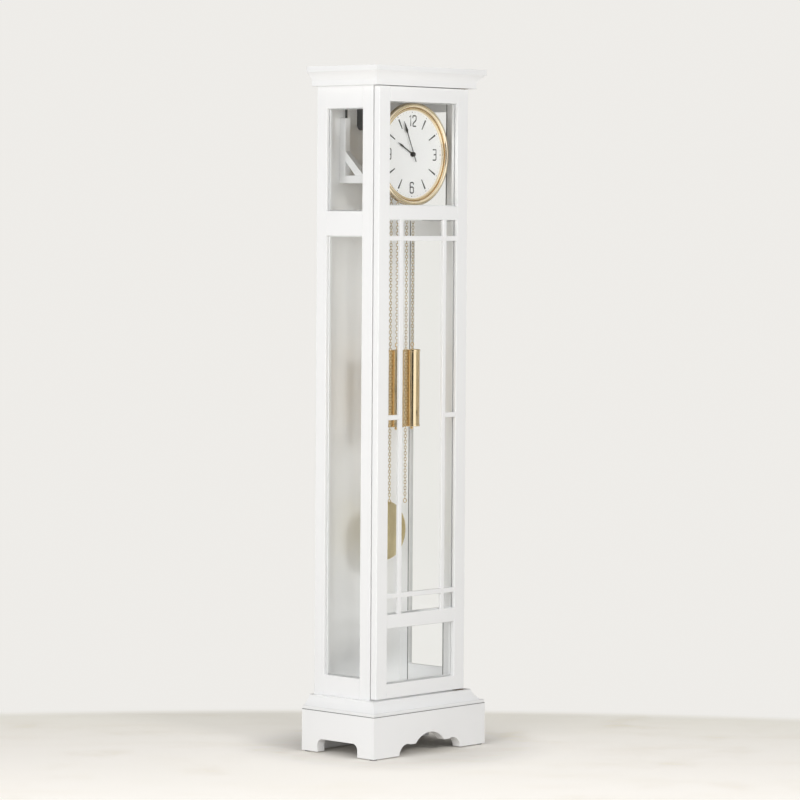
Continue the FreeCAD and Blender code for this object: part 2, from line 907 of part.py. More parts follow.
def door():
    door_stiles()
    door_rails()
    door_bars()
    door_glazing()
    door_hinges()
    door_catch()


# Movement seat: strutted brackets on the back panel, with the board between their arms
def seat_bracket(word, left):
    right = left + s.bracket_thickness
    post_front = back_panel_front - s.bracket_post_depth
    strut = new_body(f"bracket_strut_{word}")
    sketch = outline(
        sketch_on(strut, "YZ"),
        (post_front, seat_top + s.strut_top_rise),
        (post_front - s.strut_top_reach, seat_top),
        (post_front - s.strut_low_reach, seat_top),
        (post_front, seat_top + s.strut_low_rise),
    )
    pad(strut, sketch, s.bracket_thickness)
    place(strut, x=left)
    return [
        board(f"bracket_arm_{word}", (left, seat_front, seat_top - s.bracket_arm_height),
              (right, back_panel_front, seat_top), "y"),
        board(f"bracket_post_{word}", (left, post_front, seat_top),
              (right, back_panel_front, seat_top + s.bracket_post_height), "z"),
        strut,
    ]


def movement_seat():
    group("seat_brackets", seat_bracket("left", -bracket_outer) + seat_bracket("right", seat_half))
    low = (-seat_half, seat_front, seat_top - s.seat_board_thickness)
    seat = board("seat_board", low, (seat_half, seat_back, seat_top))
    slot_right = seat_half * 2 - s.seat_end
    slot_front = chain_y - seat_front - s.chain_slot_width / 2
    slot = outline(
        sketch_on(seat, "XY"),
        (s.seat_end, slot_front),
        (slot_right, slot_front),
        (slot_right, slot_front + s.chain_slot_width),
        (s.seat_end, slot_front + s.chain_slot_width),
    )
    pocket(seat, slot, s.seat_board_thickness + s.overrun, back=True)
    piece(seat, "seat_board")
    hangers = []
    post_top = seat_top + s.bracket_post_height
    for side, word in ((-1, "left"), (1, "right")):
        x = (bracket_outer - s.hanger_inset) * side
        y = back_panel_front - s.bracket_post_depth / 2
        hangers.append(upright(f"hanger_{word}", s.hanger_radius, case_top_bottom - post_top,
                               x, y, post_top))
    group("seat_hangers", hangers)


# Movement: two plates on pillars, three chain sprockets, the train and the hands
sprocket_offset = {"left": -1, "centre": 0, "right": 1}


def weight_x(word):
    return weight_spacing * sprocket_offset[word]


def free_side(word):
    """The free strand hangs on the inner or left-hand side of its sprocket."""
    return 1 if word == "left" else -1


def sprocket_x(word):
    return weight_x(word) + s.sprocket_pitch * free_side(word)


def arbor_hole(sketch, x, z, radius):
    return circle(sketch, x, z - seat_top, radius + s.running_clearance)


def movement_plate(name, y, holes):
    body = new_body(name)
    sketch = outline(sketch_on(body, "XZ"), (-seat_half, 0), (seat_half, 0),
                     (seat_half, s.plate_height), (-seat_half, s.plate_height))
    for x, z, radius in holes:
        arbor_hole(sketch, x, z, radius)
    pad(body, sketch, s.plate_thickness, back=True)
    piece(place(body, y=y, z=seat_top), name)


def pillar(name, radius, x, front, back, z):
    return disc(name, radius, back - front, x, front, z)


def movement_frame():
    holes = [(sprocket_x(word), sprocket_height, s.arbor_radius) for word in sprocket_offset]
    verge = (0, verge_height, s.verge_radius)
    centre = (0, centre_height, s.minute_arbor_radius)
    movement_plate("movement_front_plate", plate_front_y, holes + [centre])
    movement_plate("movement_back_plate", back_plate_y, holes + [verge])
    reach = seat_half - s.pillar_inset
    rise = s.plate_height - s.pillar_inset
    pillars = []
    for number, (side, z) in enumerate(((-1, s.pillar_inset), (1, s.pillar_inset), (-1, rise),
                                        (1, rise)), 1):
        pillars.append(pillar(f"pillar_{number}", s.pillar_radius, reach * side, plate_inner_y,
                              back_plate_y, z + seat_top))
    offset = s.dial_post_offset
    for number, (side, way) in enumerate(((-1, -1), (1, -1), (-1, 1), (1, 1)), 1):
        z = centre_height + offset * way
        pillars.append(pillar(f"dial_post_{number}", s.dial_post_radius, offset * side, dial_back,
                              plate_front_y, z))
    group("movement_pillars", pillars)


def sprocket(word):
    """A chain sprocket with its great wheel on one arbor; y is counted from the chain."""
    name = f"sprocket_{word}"
    body = new_body(f"{name}_arbor")
    half_space = s.chain_width / 2 + s.chain_side_play
    flange = half_space + s.flange_thickness
    rim = s.sprocket_pitch + s.flange_rise
    core = s.sprocket_pitch - s.chain_width / 2 - s.seat_gap
    front = plate_front_y - chain_y
    back = movement_back_y - chain_y
    radius = s.arbor_radius
    sketch = outline(
        sketch_on(body, "XY"),
        (0, front),
        (radius, front),
        (radius, -flange),
        (rim, -flange),
        (rim, -half_space),
        (core, -half_space),
        (core, half_space),
        (rim, half_space),
        (rim, flange),
        (radius, flange),
        (radius, back),
        (0, back),
    )
    turned(body, sketch)
    x = sprocket_x(word)
    place(body, x, chain_y, sprocket_height)
    wheel_y = chain_y + (-s.great_wheel_offset - s.wheel_thickness if word == "centre"
                         else s.great_wheel_offset)
    wheel = toothed_wheel(f"great_wheel_{word}", s.great_wheel_radius, great_wheel_teeth,
                          s.wheel_thickness, s.arbor_radius, x, wheel_y, sprocket_height)
    group(name, [body, wheel])


great_wheel_teeth = 24
second_wheel_teeth = 20
escape_wheel_teeth = 18


def train_wheels():
    """The fixed stand-in of the trains: a second wheel over each great wheel and the escape wheel."""
    members = []
    rise = s.great_wheel_radius + s.pinion_radius + s.mesh_gap
    for word in ("left", "right"):
        x, z = sprocket_x(word), sprocket_height + rise
        y = chain_y + s.great_wheel_offset + s.wheel_thickness + s.mesh_gap
        members.append(toothed_wheel(f"second_wheel_{word}", s.second_wheel_radius,
                                     second_wheel_teeth, s.wheel_thickness, s.pinion_radius, x, y, z))
        members.append(disc(f"second_arbor_{word}", s.pinion_radius, s.plate_space, x,
                            plate_inner_y, z))
    members.append(toothed_wheel("escape_wheel", s.escape_wheel_radius, escape_wheel_teeth,
                                 s.wheel_thickness, s.verge_radius, 0, escape_wheel_y,
                                 escape_wheel_height))
    members.append(disc("escape_arbor", s.verge_radius, s.plate_space, 0, plate_inner_y,
                        escape_wheel_height))
    group("train_wheels", members)


def dial():
    plate = disc("dial", dial_radius, s.dial_thickness, 0, dial_y, centre_height, s.dial_hole)
    piece(plate, "dial")
    ring = new_body("bezel")
    outer, depth = s.bezel_outer, s.bezel_depth
    step = bezel_inner + s.bezel_step_width
    sketch = outline(
        sketch_on(ring, "XY"),
        (bezel_inner, 0),
        (bezel_inner, -s.bezel_lip),
        (step, -s.bezel_step_depth),
        (step + s.bezel_roll / 2, s.bezel_roll / 2 - depth),
        (step + s.bezel_roll, -depth),
        (outer - s.bezel_roll / 2, -depth),
        (outer, s.bezel_roll - depth),
        (outer, 0),
    )
    turned(ring, sketch)
    piece(place(ring, 0, dial_y, centre_height), "bezel")


hand_spade_share = 0.09
hand_neck_share = 0.72
minute_hand_angle = -24
hour_hand_angle = -62


def hand(name, length, tail, width, hub, y, angle, pipe_radius, pipe_length, pipe_bore):
    """A slim spade hand drawn pointing at twelve and turned to its place, on its pipe."""
    body = new_body(name)
    spade = length * hand_spade_share
    neck = length * hand_neck_share
    half = width / 2
    sketch = outline(
        sketch_on(body, "XZ"),
        (-half, -tail),
        (half, -tail),
        (half, neck - spade),
        (spade / 2, neck),
        (0, length),
        (-spade / 2, neck),
        (-half, neck - spade),
    )
    pad(body, sketch, s.hand_thickness, back=True)
    boss = circle(sketch_on(body, "XZ"), 0, 0, hub)
    pad(body, boss, s.hand_thickness, back=True)
    pipe = circle(sketch_on(body, "XZ"), 0, 0, pipe_radius)
    pad(body, pipe, pipe_length, back=True)
    if pipe_bore is not None:
        bore = circle(sketch_on(body, "XZ"), 0, 0, pipe_bore)
        pocket(body, bore, pipe_length + s.overrun)
    body.Placement = Placement(Vector(), Rotation(Vector(0, 1, 0), angle))
    piece(place(body, 0, y, centre_height), name)


def hands():
    """Hands at four minutes to ten; angles are clockwise from twelve."""
    y = dial_y - s.minute_hand_lift
    hand("minute_hand", bezel_inner - s.minute_hand_end_gap, s.minute_hand_tail,
         s.minute_hand_width, s.minute_hand_hub, y, minute_hand_angle, s.minute_arbor_radius,
         plate_inner_y + s.overrun - y, None)
    y = dial_y - s.hour_hand_lift
    hand("hour_hand", s.hour_hand_length, s.hour_hand_tail, s.hour_hand_width, s.hour_hand_hub,
         y, hour_hand_angle, s.hour_pipe_radius, plate_front_y - s.seat_gap - y,
         s.minute_arbor_radius + s.running_clearance)


# Escapement and pendulum
stem_top_share = 0.6
bob_face_share = 0.4


def anchor():
    """Anchor over the escape wheel, its arbor and the crutch that guides the pendulum."""
    body = new_body("anchor")
    drop = verge_height - escape_wheel_height
    pallet = s.escape_wheel_radius + s.pallet_gap
    corner = pallet * math.sqrt(0.5)
    shoulder = corner + s.anchor_thickness
    sketch = outline(
        sketch_on(body, "XZ"),
        (0, s.anchor_thickness),
        (-shoulder, corner - drop + s.anchor_thickness),
        (-shoulder, corner - drop - s.anchor_thickness / 2),
        (-corner, corner - drop),
        (-corner, corner - drop + s.anchor_thickness / 2),
        (0, -s.anchor_thickness),
        (corner, corner - drop + s.anchor_thickness / 2),
        (corner, corner - drop),
        (shoulder, corner - drop - s.anchor_thickness / 2),
        (shoulder, corner - drop + s.anchor_thickness),
    )
    pad(body, sketch, s.anchor_thickness, back=True)
    arbor = circle(sketch_on(body, "XZ"), 0, 0, s.verge_radius)
    arbor_front = plate_inner_y + s.seat_gap
    arbor.setExpression("AttachmentOffset.Base.z", (escape_wheel_y - arbor_front).formula)
    crutch_y = pendulum_y - s.crutch_setback
    pad(body, arbor, crutch_y + s.crutch_thickness - arbor_front, back=True)
    arm = sketch_on(body, "XZ")
    arm.setExpression("AttachmentOffset.Base.z", (escape_wheel_y - crutch_y).formula)
    half = s.crutch_width / 2
    outline(arm, (-half, -s.crutch_length), (half, -s.crutch_length), (half, s.verge_radius),
            (-half, s.verge_radius))
    pad(body, arm, s.crutch_thickness, back=True)
    place(body, 0, escape_wheel_y, verge_height)
    fork = []
    inner = s.rod_width / 2 + s.fork_play
    for side, word in ((-1, "left"), (1, "right")):
        edges = sorted((inner * side, (inner + s.fork_wire) * side), key=float)
        fork.append(board(f"crutch_prong_{word}",
                          (edges[0], crutch_y + s.crutch_thickness, verge_height - s.crutch_length),
                          (edges[1], pendulum_y + s.rod_thickness / 2,
                           verge_height - s.crutch_length + s.crutch_width)))
    yoke_low = (-inner - s.fork_wire, crutch_y, verge_height - s.crutch_length - s.crutch_width)
    yoke_high = (inner + s.fork_wire, crutch_y + s.crutch_thickness,
                 verge_height - s.crutch_length)
    fork.append(board("crutch_yoke", yoke_low, yoke_high))
    group("anchor_and_crutch", [body] + fork)


def pendulum_cock():
    """The bracket behind the back plate that the suspension spring hangs from."""
    body = new_body("pendulum_cock")
    half, wall = s.cock_width / 2, s.cock_wall
    top = s.cock_rise + wall
    sketch = outline(
        sketch_on(body, "XZ"),
        (-half, -s.cock_drop),
        (wall - half, -s.cock_drop),
        (wall - half, s.cock_rise),
        (half - wall, s.cock_rise),
        (half - wall, -s.cock_drop),
        (half, -s.cock_drop),
        (half, top),
        (-half, top),
    )
    pad(body, sketch, pendulum_y + s.cock_overhang - movement_back_y, back=True)
    piece(place(body, 0, movement_back_y, verge_height), "pendulum_cock")


def pendulum():
    rod_top = verge_height - s.suspension_drop
    spring_top = verge_height + s.cock_rise - s.seat_gap
    half_rod, half_depth = s.rod_width / 2, s.rod_thickness / 2
    half_spring, half_leaf = s.spring_width / 2, s.spring_thickness / 2
    stem_top = bob_height - s.bob_radius * stem_top_share
    stem_bottom = bob_height - s.rod_tail
    rod = [
        board("suspension_spring", (-half_leaf, pendulum_y - half_spring, rod_top),
              (half_leaf, pendulum_y + half_spring, spring_top)),
        board("pendulum_lath", (-half_rod, pendulum_y - half_depth, stem_top),
              (half_rod, pendulum_y + half_depth, rod_top), "z"),
        upright("pendulum_stem", s.stem_radius, stem_top - stem_bottom, 0, pendulum_y, stem_bottom),
    ]
    group("pendulum_rod", rod)
    bob = new_body("pendulum_bob")
    half, edge = s.bob_thickness / 2, s.bob_edge / 2
    face = s.bob_radius * bob_face_share
    sketch = outline(
        sketch_on(bob, "XY"),
        (0, -half),
        (face, -half),
        (s.bob_radius, -edge),
        (s.bob_radius, edge),
        (face, half),
        (0, half),
    )
    turned(bob, sketch)
    channel = outline(
        sketch_on(bob, "XY"),
        (-half_rod - s.seat_gap, -half_depth - s.seat_gap),
        (half_rod + s.seat_gap, -half_depth - s.seat_gap),
        (half_rod + s.seat_gap, half_depth + s.seat_gap),
        (-half_rod - s.seat_gap, half_depth + s.seat_gap),
    )
    channel.setExpression("AttachmentOffset.Base.z", (stem_top - bob_height).formula)
    pocket(bob, channel, s.bob_radius * 2, back=True)
    bore = circle(sketch_on(bob, "XY"), 0, 0, s.stem_radius + s.running_clearance)
    pocket(bob, bore, s.bob_radius + s.overrun)
    piece(place(bob, 0, pendulum_y, bob_height), "pendulum_bob")
    nut = new_body("rating_nut")
    sketch = circle(sketch_on(nut, "XY"), 0, 0, s.rating_nut_radius)
    circle(sketch, 0, 0, s.stem_radius + s.running_clearance)
    pad(nut, sketch, s.rating_nut_height)
    nut_bottom = bob_height - s.bob_radius - s.seat_gap - s.rating_nut_height
    piece(place(nut, 0, pendulum_y, nut_bottom), "rating_nut")


# Weights and chains
def weight(word):
    name = f"weight_{word}"
    body = new_body(name)
    cap, height = s.weight_cap_height, s.weight_height
    sketch = outline(
        sketch_on(body, "XZ"),
        (0, -s.finial_drop),
        (s.finial_radius, -s.finial_drop),
        (s.finial_radius, 0),
        (s.weight_cap_radius, 0),
        (s.weight_cap_radius, cap),
        (s.weight_radius, cap),
        (s.weight_radius, height - cap),
        (s.weight_cap_radius, height - cap),
        (s.weight_cap_radius, height),
        (s.hook_wire, height),
        (s.hook_wire, height + s.hook_neck),
        (0, height + s.hook_neck),
    )
    turned(body, sketch)
    eye = sketch_on(body, "XZ")
    eye.setExpression("AttachmentOffset.Base.z", s.hook_wire.formula)
    for radius in (s.hook_radius + s.hook_wire, s.hook_radius - s.hook_wire):
        circle(eye, 0, height + s.hook_neck + s.hook_radius, radius)
    pad(body, eye, s.hook_wire * 2, back=True)
    piece(place(body, weight_x(word), chain_y, weight_bottom), name)


hook_top = weight_bottom + s.weight_height + s.hook_neck + (s.hook_radius * 2 + s.hook_wire)


def free_x(word):
    return sprocket_x(word) + s.sprocket_pitch * free_side(word)


def chain(word):
    """The two hanging strands, each drawn as the plain rod that its links fill."""
    radius = s.chain_width / 2
    bottom = hook_top + s.seat_gap
    name = f"chain_{word}"
    piece(upright(name, radius, sprocket_height - bottom, weight_x(word), chain_y, bottom), name)
    name = f"free_chain_{word}"
    bottom = free_chain_end
    piece(upright(name, radius, sprocket_height - bottom, free_x(word), chain_y, bottom), name)
    ring = new_body(f"chain_ring_{word}")
    sketch = circle(sketch_on(ring, "YZ"), 0, 0, s.ring_radius + s.ring_wire)
    pad(ring, circle(sketch, 0, 0, s.ring_radius - s.ring_wire), s.ring_wire * 2)
    ring_z = free_chain_end - s.seat_gap - s.ring_radius - s.ring_wire
    piece(place(ring, free_x(word) - s.ring_wire, chain_y, ring_z), f"chain_ring_{word}")


def chain_wraps():
    """The half turns of chain over the sprockets."""
    wraps = []
    outer = s.sprocket_pitch + s.chain_width / 2
    inner = s.sprocket_pitch - s.chain_width / 2
    for word in sprocket_offset:
        wrap = new_body(f"chain_wrap_{word}")
        sketch = outline(
            sketch_on(wrap, "XZ"),
            (-inner, 0, inner, 1),
            (-outer, 0),
            (0, outer, outer, -1),
            (outer, 0, outer, -1),
            (inner, 0),
            (0, inner, inner, 1),
        )
        pad(wrap, sketch, s.chain_width, back=True)
        wraps.append(place(wrap, sprocket_x(word), chain_y - s.chain_width / 2, sprocket_height))
    group("chain_wraps", wraps)


# Chime: a cast block on the back panel, its rods and the hammers behind the movement
chime_rods = 5


def bar_profile(sketch, width, height):
    """A rectangle round the origin, for a square bar seen along its length."""
    return outline(sketch, (-width / 2, -height / 2), (width / 2, -height / 2),
                   (width / 2, height / 2), (-width / 2, height / 2))


def hammer(name, arm_length, x, y, z):
    """A square hub on the pivot, its arm and the square head that strikes a rod."""
    body = new_body(name)
    width = s.chime_rod_pitch - s.hammer_side_gap
    hub = bar_profile(sketch_on(body, "YZ"), s.hammer_hub_radius * 2, s.hammer_hub_radius * 2)
    hub.setExpression("AttachmentOffset.Base.z", (-width / 2).formula)
    pad(body, hub, width)
    pad(body, bar_profile(sketch_on(body, "XZ"), s.hammer_arm, s.hammer_arm), arm_length, back=True)
    head = bar_profile(sketch_on(body, "XZ"), width, s.hammer_depth)
    head.setExpression("AttachmentOffset.Base.z", (-arm_length).formula)
    pad(body, head, s.hammer_length, back=True)
    bore = circle(sketch_on(body, "YZ"), 0, 0, s.hammer_pivot_radius + s.running_clearance)
    bore.setExpression("AttachmentOffset.Base.z", (-width / 2).formula)
    pocket(body, bore, width, back=True)
    return place(body, x, y, z)


def chime():
    block = new_body("chime_block")
    corner, width, height = s.chime_block_corner, s.chime_block_width, s.chime_block_height
    block_left = s.chime_rod_first + s.chime_rod_pitch * (chime_rods - 1) + corner - width
    block_bottom = case_top_bottom - s.chime_block_gap - height
    sketch = outline(
        sketch_on(block, "XZ"),
        (corner, 0, corner, 1),
        (width - corner, 0),
        (width, corner, corner, 1),
        (width, height),
        (0, height),
        (0, corner),
    )
    pad(block, sketch, s.chime_block_depth, back=True)
    block_front = back_panel_front - s.chime_block_depth
    piece(place(block, block_left, block_front, block_bottom), "chime_block")
    rod_y = back_panel_front - s.chime_block_depth / 2
    head_y = rod_y - s.chime_rod_radius - s.hammer_gap - s.hammer_length
    pivot_y = movement_back_y + s.hammer_pivot_reach
    pivot_z = verge_height - s.hammer_drop
    rods, hammers = [], []
    for number in range(chime_rods):
        x = s.chime_rod_first + s.chime_rod_pitch * number
        length = s.chime_rod_longest - s.chime_rod_step * number
        rods.append(upright(f"chime_rod_{number + 1}", s.chime_rod_radius, length, x, rod_y,
                            block_bottom - length))
        hammers.append(hammer(f"hammer_{number + 1}", head_y - pivot_y, x, pivot_y, pivot_z))
    group("chime_rods", rods)
    group("chime_hammers", hammers)
    bar_left = s.chime_rod_first - s.chime_rod_pitch
    bar_right = s.chime_rod_first + s.chime_rod_pitch * chime_rods
    bar = new_body("hammer_pivot")
    pad(bar, circle(sketch_on(bar, "YZ"), 0, 0, s.hammer_pivot_radius), bar_right - bar_left)
    place(bar, bar_left, pivot_y, pivot_z)
    ears = []
    for word, left in (("left", bar_left - s.cock_wall), ("right", bar_right)):
        low = (left, movement_back_y, pivot_z - s.hammer_hub_radius)
        high = (left + s.cock_wall, pivot_y + s.hammer_hub_radius, pivot_z + s.hammer_hub_radius)
        ears.append(board(f"hammer_ear_{word}", low, high))
    group("hammer_rack", [bar] + ears)


plinth()
base_moulding()
case()
cornice()
door()
movement_seat()
movement_frame()
for train in sprocket_offset:
    sprocket(train)
train_wheels()
dial()
hands()
anchor()
pendulum_cock()
pendulum()
for train in sprocket_offset:
    weight(train)
    chain(train)
chain_wraps()
chime()

doc.recompute()
for item in doc.Objects:
    if {"Invalid", "Error"} & set(item.State):
        raise RuntimeError(f"{item.Label} did not compute: {item.State}")
for node in nodes:
    if node.Shape.isNull() or not node.Shape.isValid():
        raise RuntimeError(f"{node.Label} has no valid shape")
for node in nodes:
    node.Shape.exportStep(f"parts/{node.Label}.step")
print(len(nodes), "sub-parts written")
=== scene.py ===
import bpy
import json
import math
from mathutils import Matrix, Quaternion, Vector


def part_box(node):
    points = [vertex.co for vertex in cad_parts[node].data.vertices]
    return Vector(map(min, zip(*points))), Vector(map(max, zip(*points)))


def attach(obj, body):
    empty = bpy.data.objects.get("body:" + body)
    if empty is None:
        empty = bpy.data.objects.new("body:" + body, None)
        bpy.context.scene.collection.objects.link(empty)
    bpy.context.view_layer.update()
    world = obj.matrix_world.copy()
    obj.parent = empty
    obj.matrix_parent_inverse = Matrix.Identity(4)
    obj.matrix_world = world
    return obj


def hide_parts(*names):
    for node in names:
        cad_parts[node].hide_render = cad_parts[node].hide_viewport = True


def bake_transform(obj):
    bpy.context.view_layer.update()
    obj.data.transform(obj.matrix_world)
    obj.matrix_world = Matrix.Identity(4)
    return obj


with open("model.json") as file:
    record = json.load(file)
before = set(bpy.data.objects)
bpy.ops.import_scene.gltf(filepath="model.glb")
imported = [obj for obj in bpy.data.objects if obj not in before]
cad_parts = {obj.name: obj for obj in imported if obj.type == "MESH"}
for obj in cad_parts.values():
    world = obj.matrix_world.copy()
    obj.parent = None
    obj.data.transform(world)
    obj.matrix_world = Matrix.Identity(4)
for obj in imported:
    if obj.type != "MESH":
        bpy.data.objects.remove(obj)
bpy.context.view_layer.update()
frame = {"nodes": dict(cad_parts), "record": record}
nodes = frame["nodes"]
mm = 0.001

# The camera stands where the photograph was taken from
photoCamera = {
    "place": (-7.31206, -6.76476, 1.47362),
    "facing": (0.733853, 0.677477, -0.049844),
    "lens": 160.6,
    "sensor": 36.0,
    "roll": 0.38,
}


def addCamera():
    bpy.ops.object.camera_add(location=photoCamera["place"])
    camera = bpy.context.object
    camera.data.lens = photoCamera["lens"]
    camera.data.sensor_width = photoCamera["sensor"]
    camera.rotation_mode = "QUATERNION"
    level = Vector(photoCamera["facing"]).to_track_quat("-Z", "Y")
    roll = Quaternion((0, 0, 1), math.radians(photoCamera["roll"]))
    camera.rotation_quaternion = level @ roll
    bpy.context.scene.camera = camera


addCamera()
bpy.context.scene.view_settings.view_transform = "Standard"
print("camera set")


# One socket of a node tree, so that shader sums read as sums
class Shade:
    def __init__(self, tree, output=None):
        self.tree = tree
        self.output = output

    def node(self, kind, values=None, output=0, **settings):
        made = self.tree.nodes.new("ShaderNode" + kind)
        for name, setting in settings.items():
            setattr(made, name, setting)
        for name, value in (values or {}).items():
            if isinstance(value, Shade):
                self.tree.links.new(value.output, made.inputs[name])
            else:
                made.inputs[name].default_value = value
        return Shade(self.tree, made.outputs[output] if made.outputs else None)

    def maths(self, operation, *values):
        return self.node("Math", dict(enumerate(values)), operation=operation)

    def __add__(self, other):
        return self.maths("ADD", self, other)

    def __radd__(self, other):
        return self.maths("ADD", other, self)

    def __sub__(self, other):
        return self.maths("SUBTRACT", self, other)

    def __rsub__(self, other):
        return self.maths("SUBTRACT", other, self)

    def __mul__(self, other):
        return self.maths("MULTIPLY", self, other)

    def __rmul__(self, other):
        return self.maths("MULTIPLY", other, self)

    def mixed(self, first, second):
        values = {0: self, 6: first, 7: second}
        return self.node("Mix", values, output=2, data_type="RGBA")

    def ranged(self, start, end, low=0.0, high=1.0, shape="LINEAR"):
        values = {"Value": self, "From Min": start, "From Max": end, "To Min": low, "To Max": high}
        return self.node("MapRange", values, interpolation_type=shape)

    def vectors(self, operation, *others, output="Vector"):
        values = dict(enumerate((self, *others)))
        return self.node("VectorMath", values, output=output, operation=operation)

    def noise(self, look):
        return self.node("TexNoise", {"Vector": self, **look})

    def bumped(self, strength, distance):
        return self.node("Bump", {"Height": self, "Strength": strength, "Distance": distance})


def newMaterial(name):
    material = bpy.data.materials.new(name)
    material.use_nodes = True
    material.node_tree.nodes.clear()
    return material, Shade(material.node_tree)


def setSurface(tree, shader, kind="OutputMaterial"):
    tree.node(kind, {"Surface": shader})


# Studio: a pale wall and floor, lit evenly
studio = {
    "wall": (0.858, 0.842, 0.812, 1),
    "ambient": (0.275, 0.275, 0.278, 1),
}


def seenDirectly(tree):
    paths = [tree.node("LightPath", output=name) for name in
             ("Is Camera Ray", "Is Glossy Ray", "Is Transmission Ray")]
    return paths[0].maths("MAXIMUM", paths[0], paths[1].maths("MAXIMUM", paths[1], paths[2]))


def lightWorld():
    world = bpy.data.worlds.new("studio")
    bpy.context.scene.world = world
    world.use_nodes = True
    world.node_tree.nodes.clear()
    tree = Shade(world.node_tree)
    ambient = tree.node("Background", {"Color": studio["ambient"]})
    wall = tree.node("Background", {"Color": studio["wall"]})
    setSurface(tree, tree.node("MixShader", {0: seenDirectly(tree), 1: ambient, 2: wall}), "OutputWorld")


# The floor: a near tone and a darker far tone that paints the shade in a strip before its reach, stains, and
# streaks along its boards. It ends in the wall's tone at its reach. It glows a little, only where it lies
# open, so that the shadow under the clock stays dark
floorLook = {
    "radius": 16,
    "corners": 96,
    "centre": (-3.81, -3.53, 0),
    "reach": 6.0,
    "fade": 0.14,
    "shade": 0.85,
    "near": (0.91, 0.878, 0.825, 1),
    "far": (0.90, 0.87, 0.79, 1),
    "stain": {"colour": (0.70, 0.63, 0.50, 1), "start": 0.56, "end": 0.78, "strength": 0.45,
              "noise": {"Scale": 3.5, "Detail": 5.0, "Roughness": 0.6}},
    "streak": {"colour": (0.84, 0.79, 0.70, 1), "start": 0.5, "end": 0.75, "strength": 0.7,
               "noise": {"Scale": 1.0, "Detail": 6.0, "Roughness": 0.65}},
    "boards": {"Rotation": (0, 0, math.radians(-44)), "Scale": (0.5, 0.12, 1)},
    "glow": 0.31,
    "glowNear": 0.17,
    "glowFar": 0.5,
}


def floorMarks(place, marks, tone):
    amount = place.noise(marks["noise"]).ranged(marks["start"], marks["end"], high=marks["strength"])
    return amount.mixed(tone, marks["colour"])


def floorFinish():
    look = floorLook
    material, tree = newMaterial("pale_floor")
    place = tree.node("TexCoord", output="Object")
    reach = place.vectors("DISTANCE", look["centre"], output="Value")
    far = reach.ranged(look["reach"] - look["fade"], look["reach"], shape="SMOOTHSTEP")
    shade = reach.ranged(look["reach"] - look["shade"], look["reach"], shape="SMOOTHSTEP")
    boards = tree.node("Mapping", {"Vector": place, **look["boards"]}, vector_type="TEXTURE")
    # painted shade: the far tone darkens the floor in a strip before its reach
    tone = shade.mixed(look["near"], look["far"])
    tone = floorMarks(boards, look["streak"], tone)
    tone = floorMarks(place, look["stain"], tone)
    apart = place.vectors("LENGTH", output="Value")
    openFloor = apart.ranged(look["glowNear"], look["glowFar"], shape="SMOOTHSTEP")
    glow = look["glow"] * openFloor * seenDirectly(tree)
    floor = tree.node("AddShader", {0: tree.node("BsdfDiffuse", {"Color": tone}),
                                    1: tree.node("Emission", {"Color": tone, "Strength": glow})})
    wall = tree.node("Emission", {"Color": studio["wall"]})
    setSurface(tree, tree.node("MixShader", {0: far * seenDirectly(tree), 1: floor, 2: wall}))
    return material


def deselectAll():
    if bpy.context.object and bpy.context.object.mode != "OBJECT":
        bpy.ops.object.mode_set(mode="OBJECT")
    bpy.ops.object.select_all(action="DESELECT")


def addFloor():
    deselectAll()
    bpy.ops.mesh.primitive_circle_add(vertices=floorLook["corners"], radius=floorLook["radius"],
                                      fill_type="NGON")
    floor = bpy.context.object
    floor.name = "studio_floor"
    floor.data.materials.append(floorFinish())


def facing(place, target):
    return (Vector(target) - Vector(place)).to_track_quat("-Z", "Y").to_euler()


# Soft lamps: the key in front, a broad fill from the left, and one more from the camera's side
lamps = {
    "studio_key": {"place": (-0.42, -3.1, 2.1), "target": (0, 0, 1.0), "size": 0.9, "power": 31},
    "studio_fill": {"place": (-3.6, -0.7, 1.6), "target": (0, 0, 0.95), "size": 2.4, "power": 68},
    "studio_front": {"place": (-2.6, -3.4, 1.5), "target": (0, 0, 1.0), "size": 2.0, "power": 37},
}


def addLamp(name, look):
    deselectAll()
    bpy.ops.object.light_add(type="AREA", location=look["place"],
                             rotation=facing(look["place"], look["target"]))
    lamp = bpy.context.object
    lamp.name = name
    lamp.data.size = look["size"]
    lamp.data.energy = look["power"]
    lamp.visible_glossy = False


# Cards that only reflections show: the bands of light and dark in polished brass
cards = {
    "front": {"place": (0.14, -3.2, 1.3), "width": 2.8, "height": 3.4, "tone": (1.30, 1.33, 1.40, 1)},
    "camera": {"place": (-2.52, -3.11, 1.1), "width": 1.9, "height": 4.0, "tone": (0.03, 0.025, 0.015, 1)},
    "near": {"place": (-3.84, -1.71, 1.1), "width": 1.5, "height": 4.0, "tone": (0.27, 0.20, 0.16, 1)},
    "left": {"place": (-4.19, 0.26, 1.1), "width": 1.7, "height": 4.0, "tone": (0.06, 0.03, 0.01, 1)},
    "right": {"place": (3.3, -1.9, 1.2), "width": 4.0, "height": 4.0, "tone": (0.49, 0.46, 0.37, 1)},
    "far": {"place": (2.88, 2.17, 1.2), "width": 3.4, "height": 4.0, "tone": (0.09, 0.06, 0.035, 1)},
}


def addCard(name, look):
    deselectAll()
    bpy.ops.mesh.primitive_plane_add(size=1, location=look["place"],
                                     rotation=facing(look["place"], (0, 0, look["place"][2])))
    card = bpy.context.object
    card.name = name
    card.scale = (look["width"], look["height"], 1)
    material, tree = newMaterial(name)
    setSurface(tree, tree.node("Emission", {"Color": look["tone"]}))
    card.data.materials.append(material)
    card.visible_camera = False
    card.visible_diffuse = False
    card.visible_shadow = False
    card.visible_transmission = False


lightWorld()
addFloor()
for lampName, lampLook in lamps.items():
    addLamp(lampName, lampLook)
for cardName, cardLook in cards.items():
    addCard("studio_card_" + cardName, cardLook)
print("studio built")

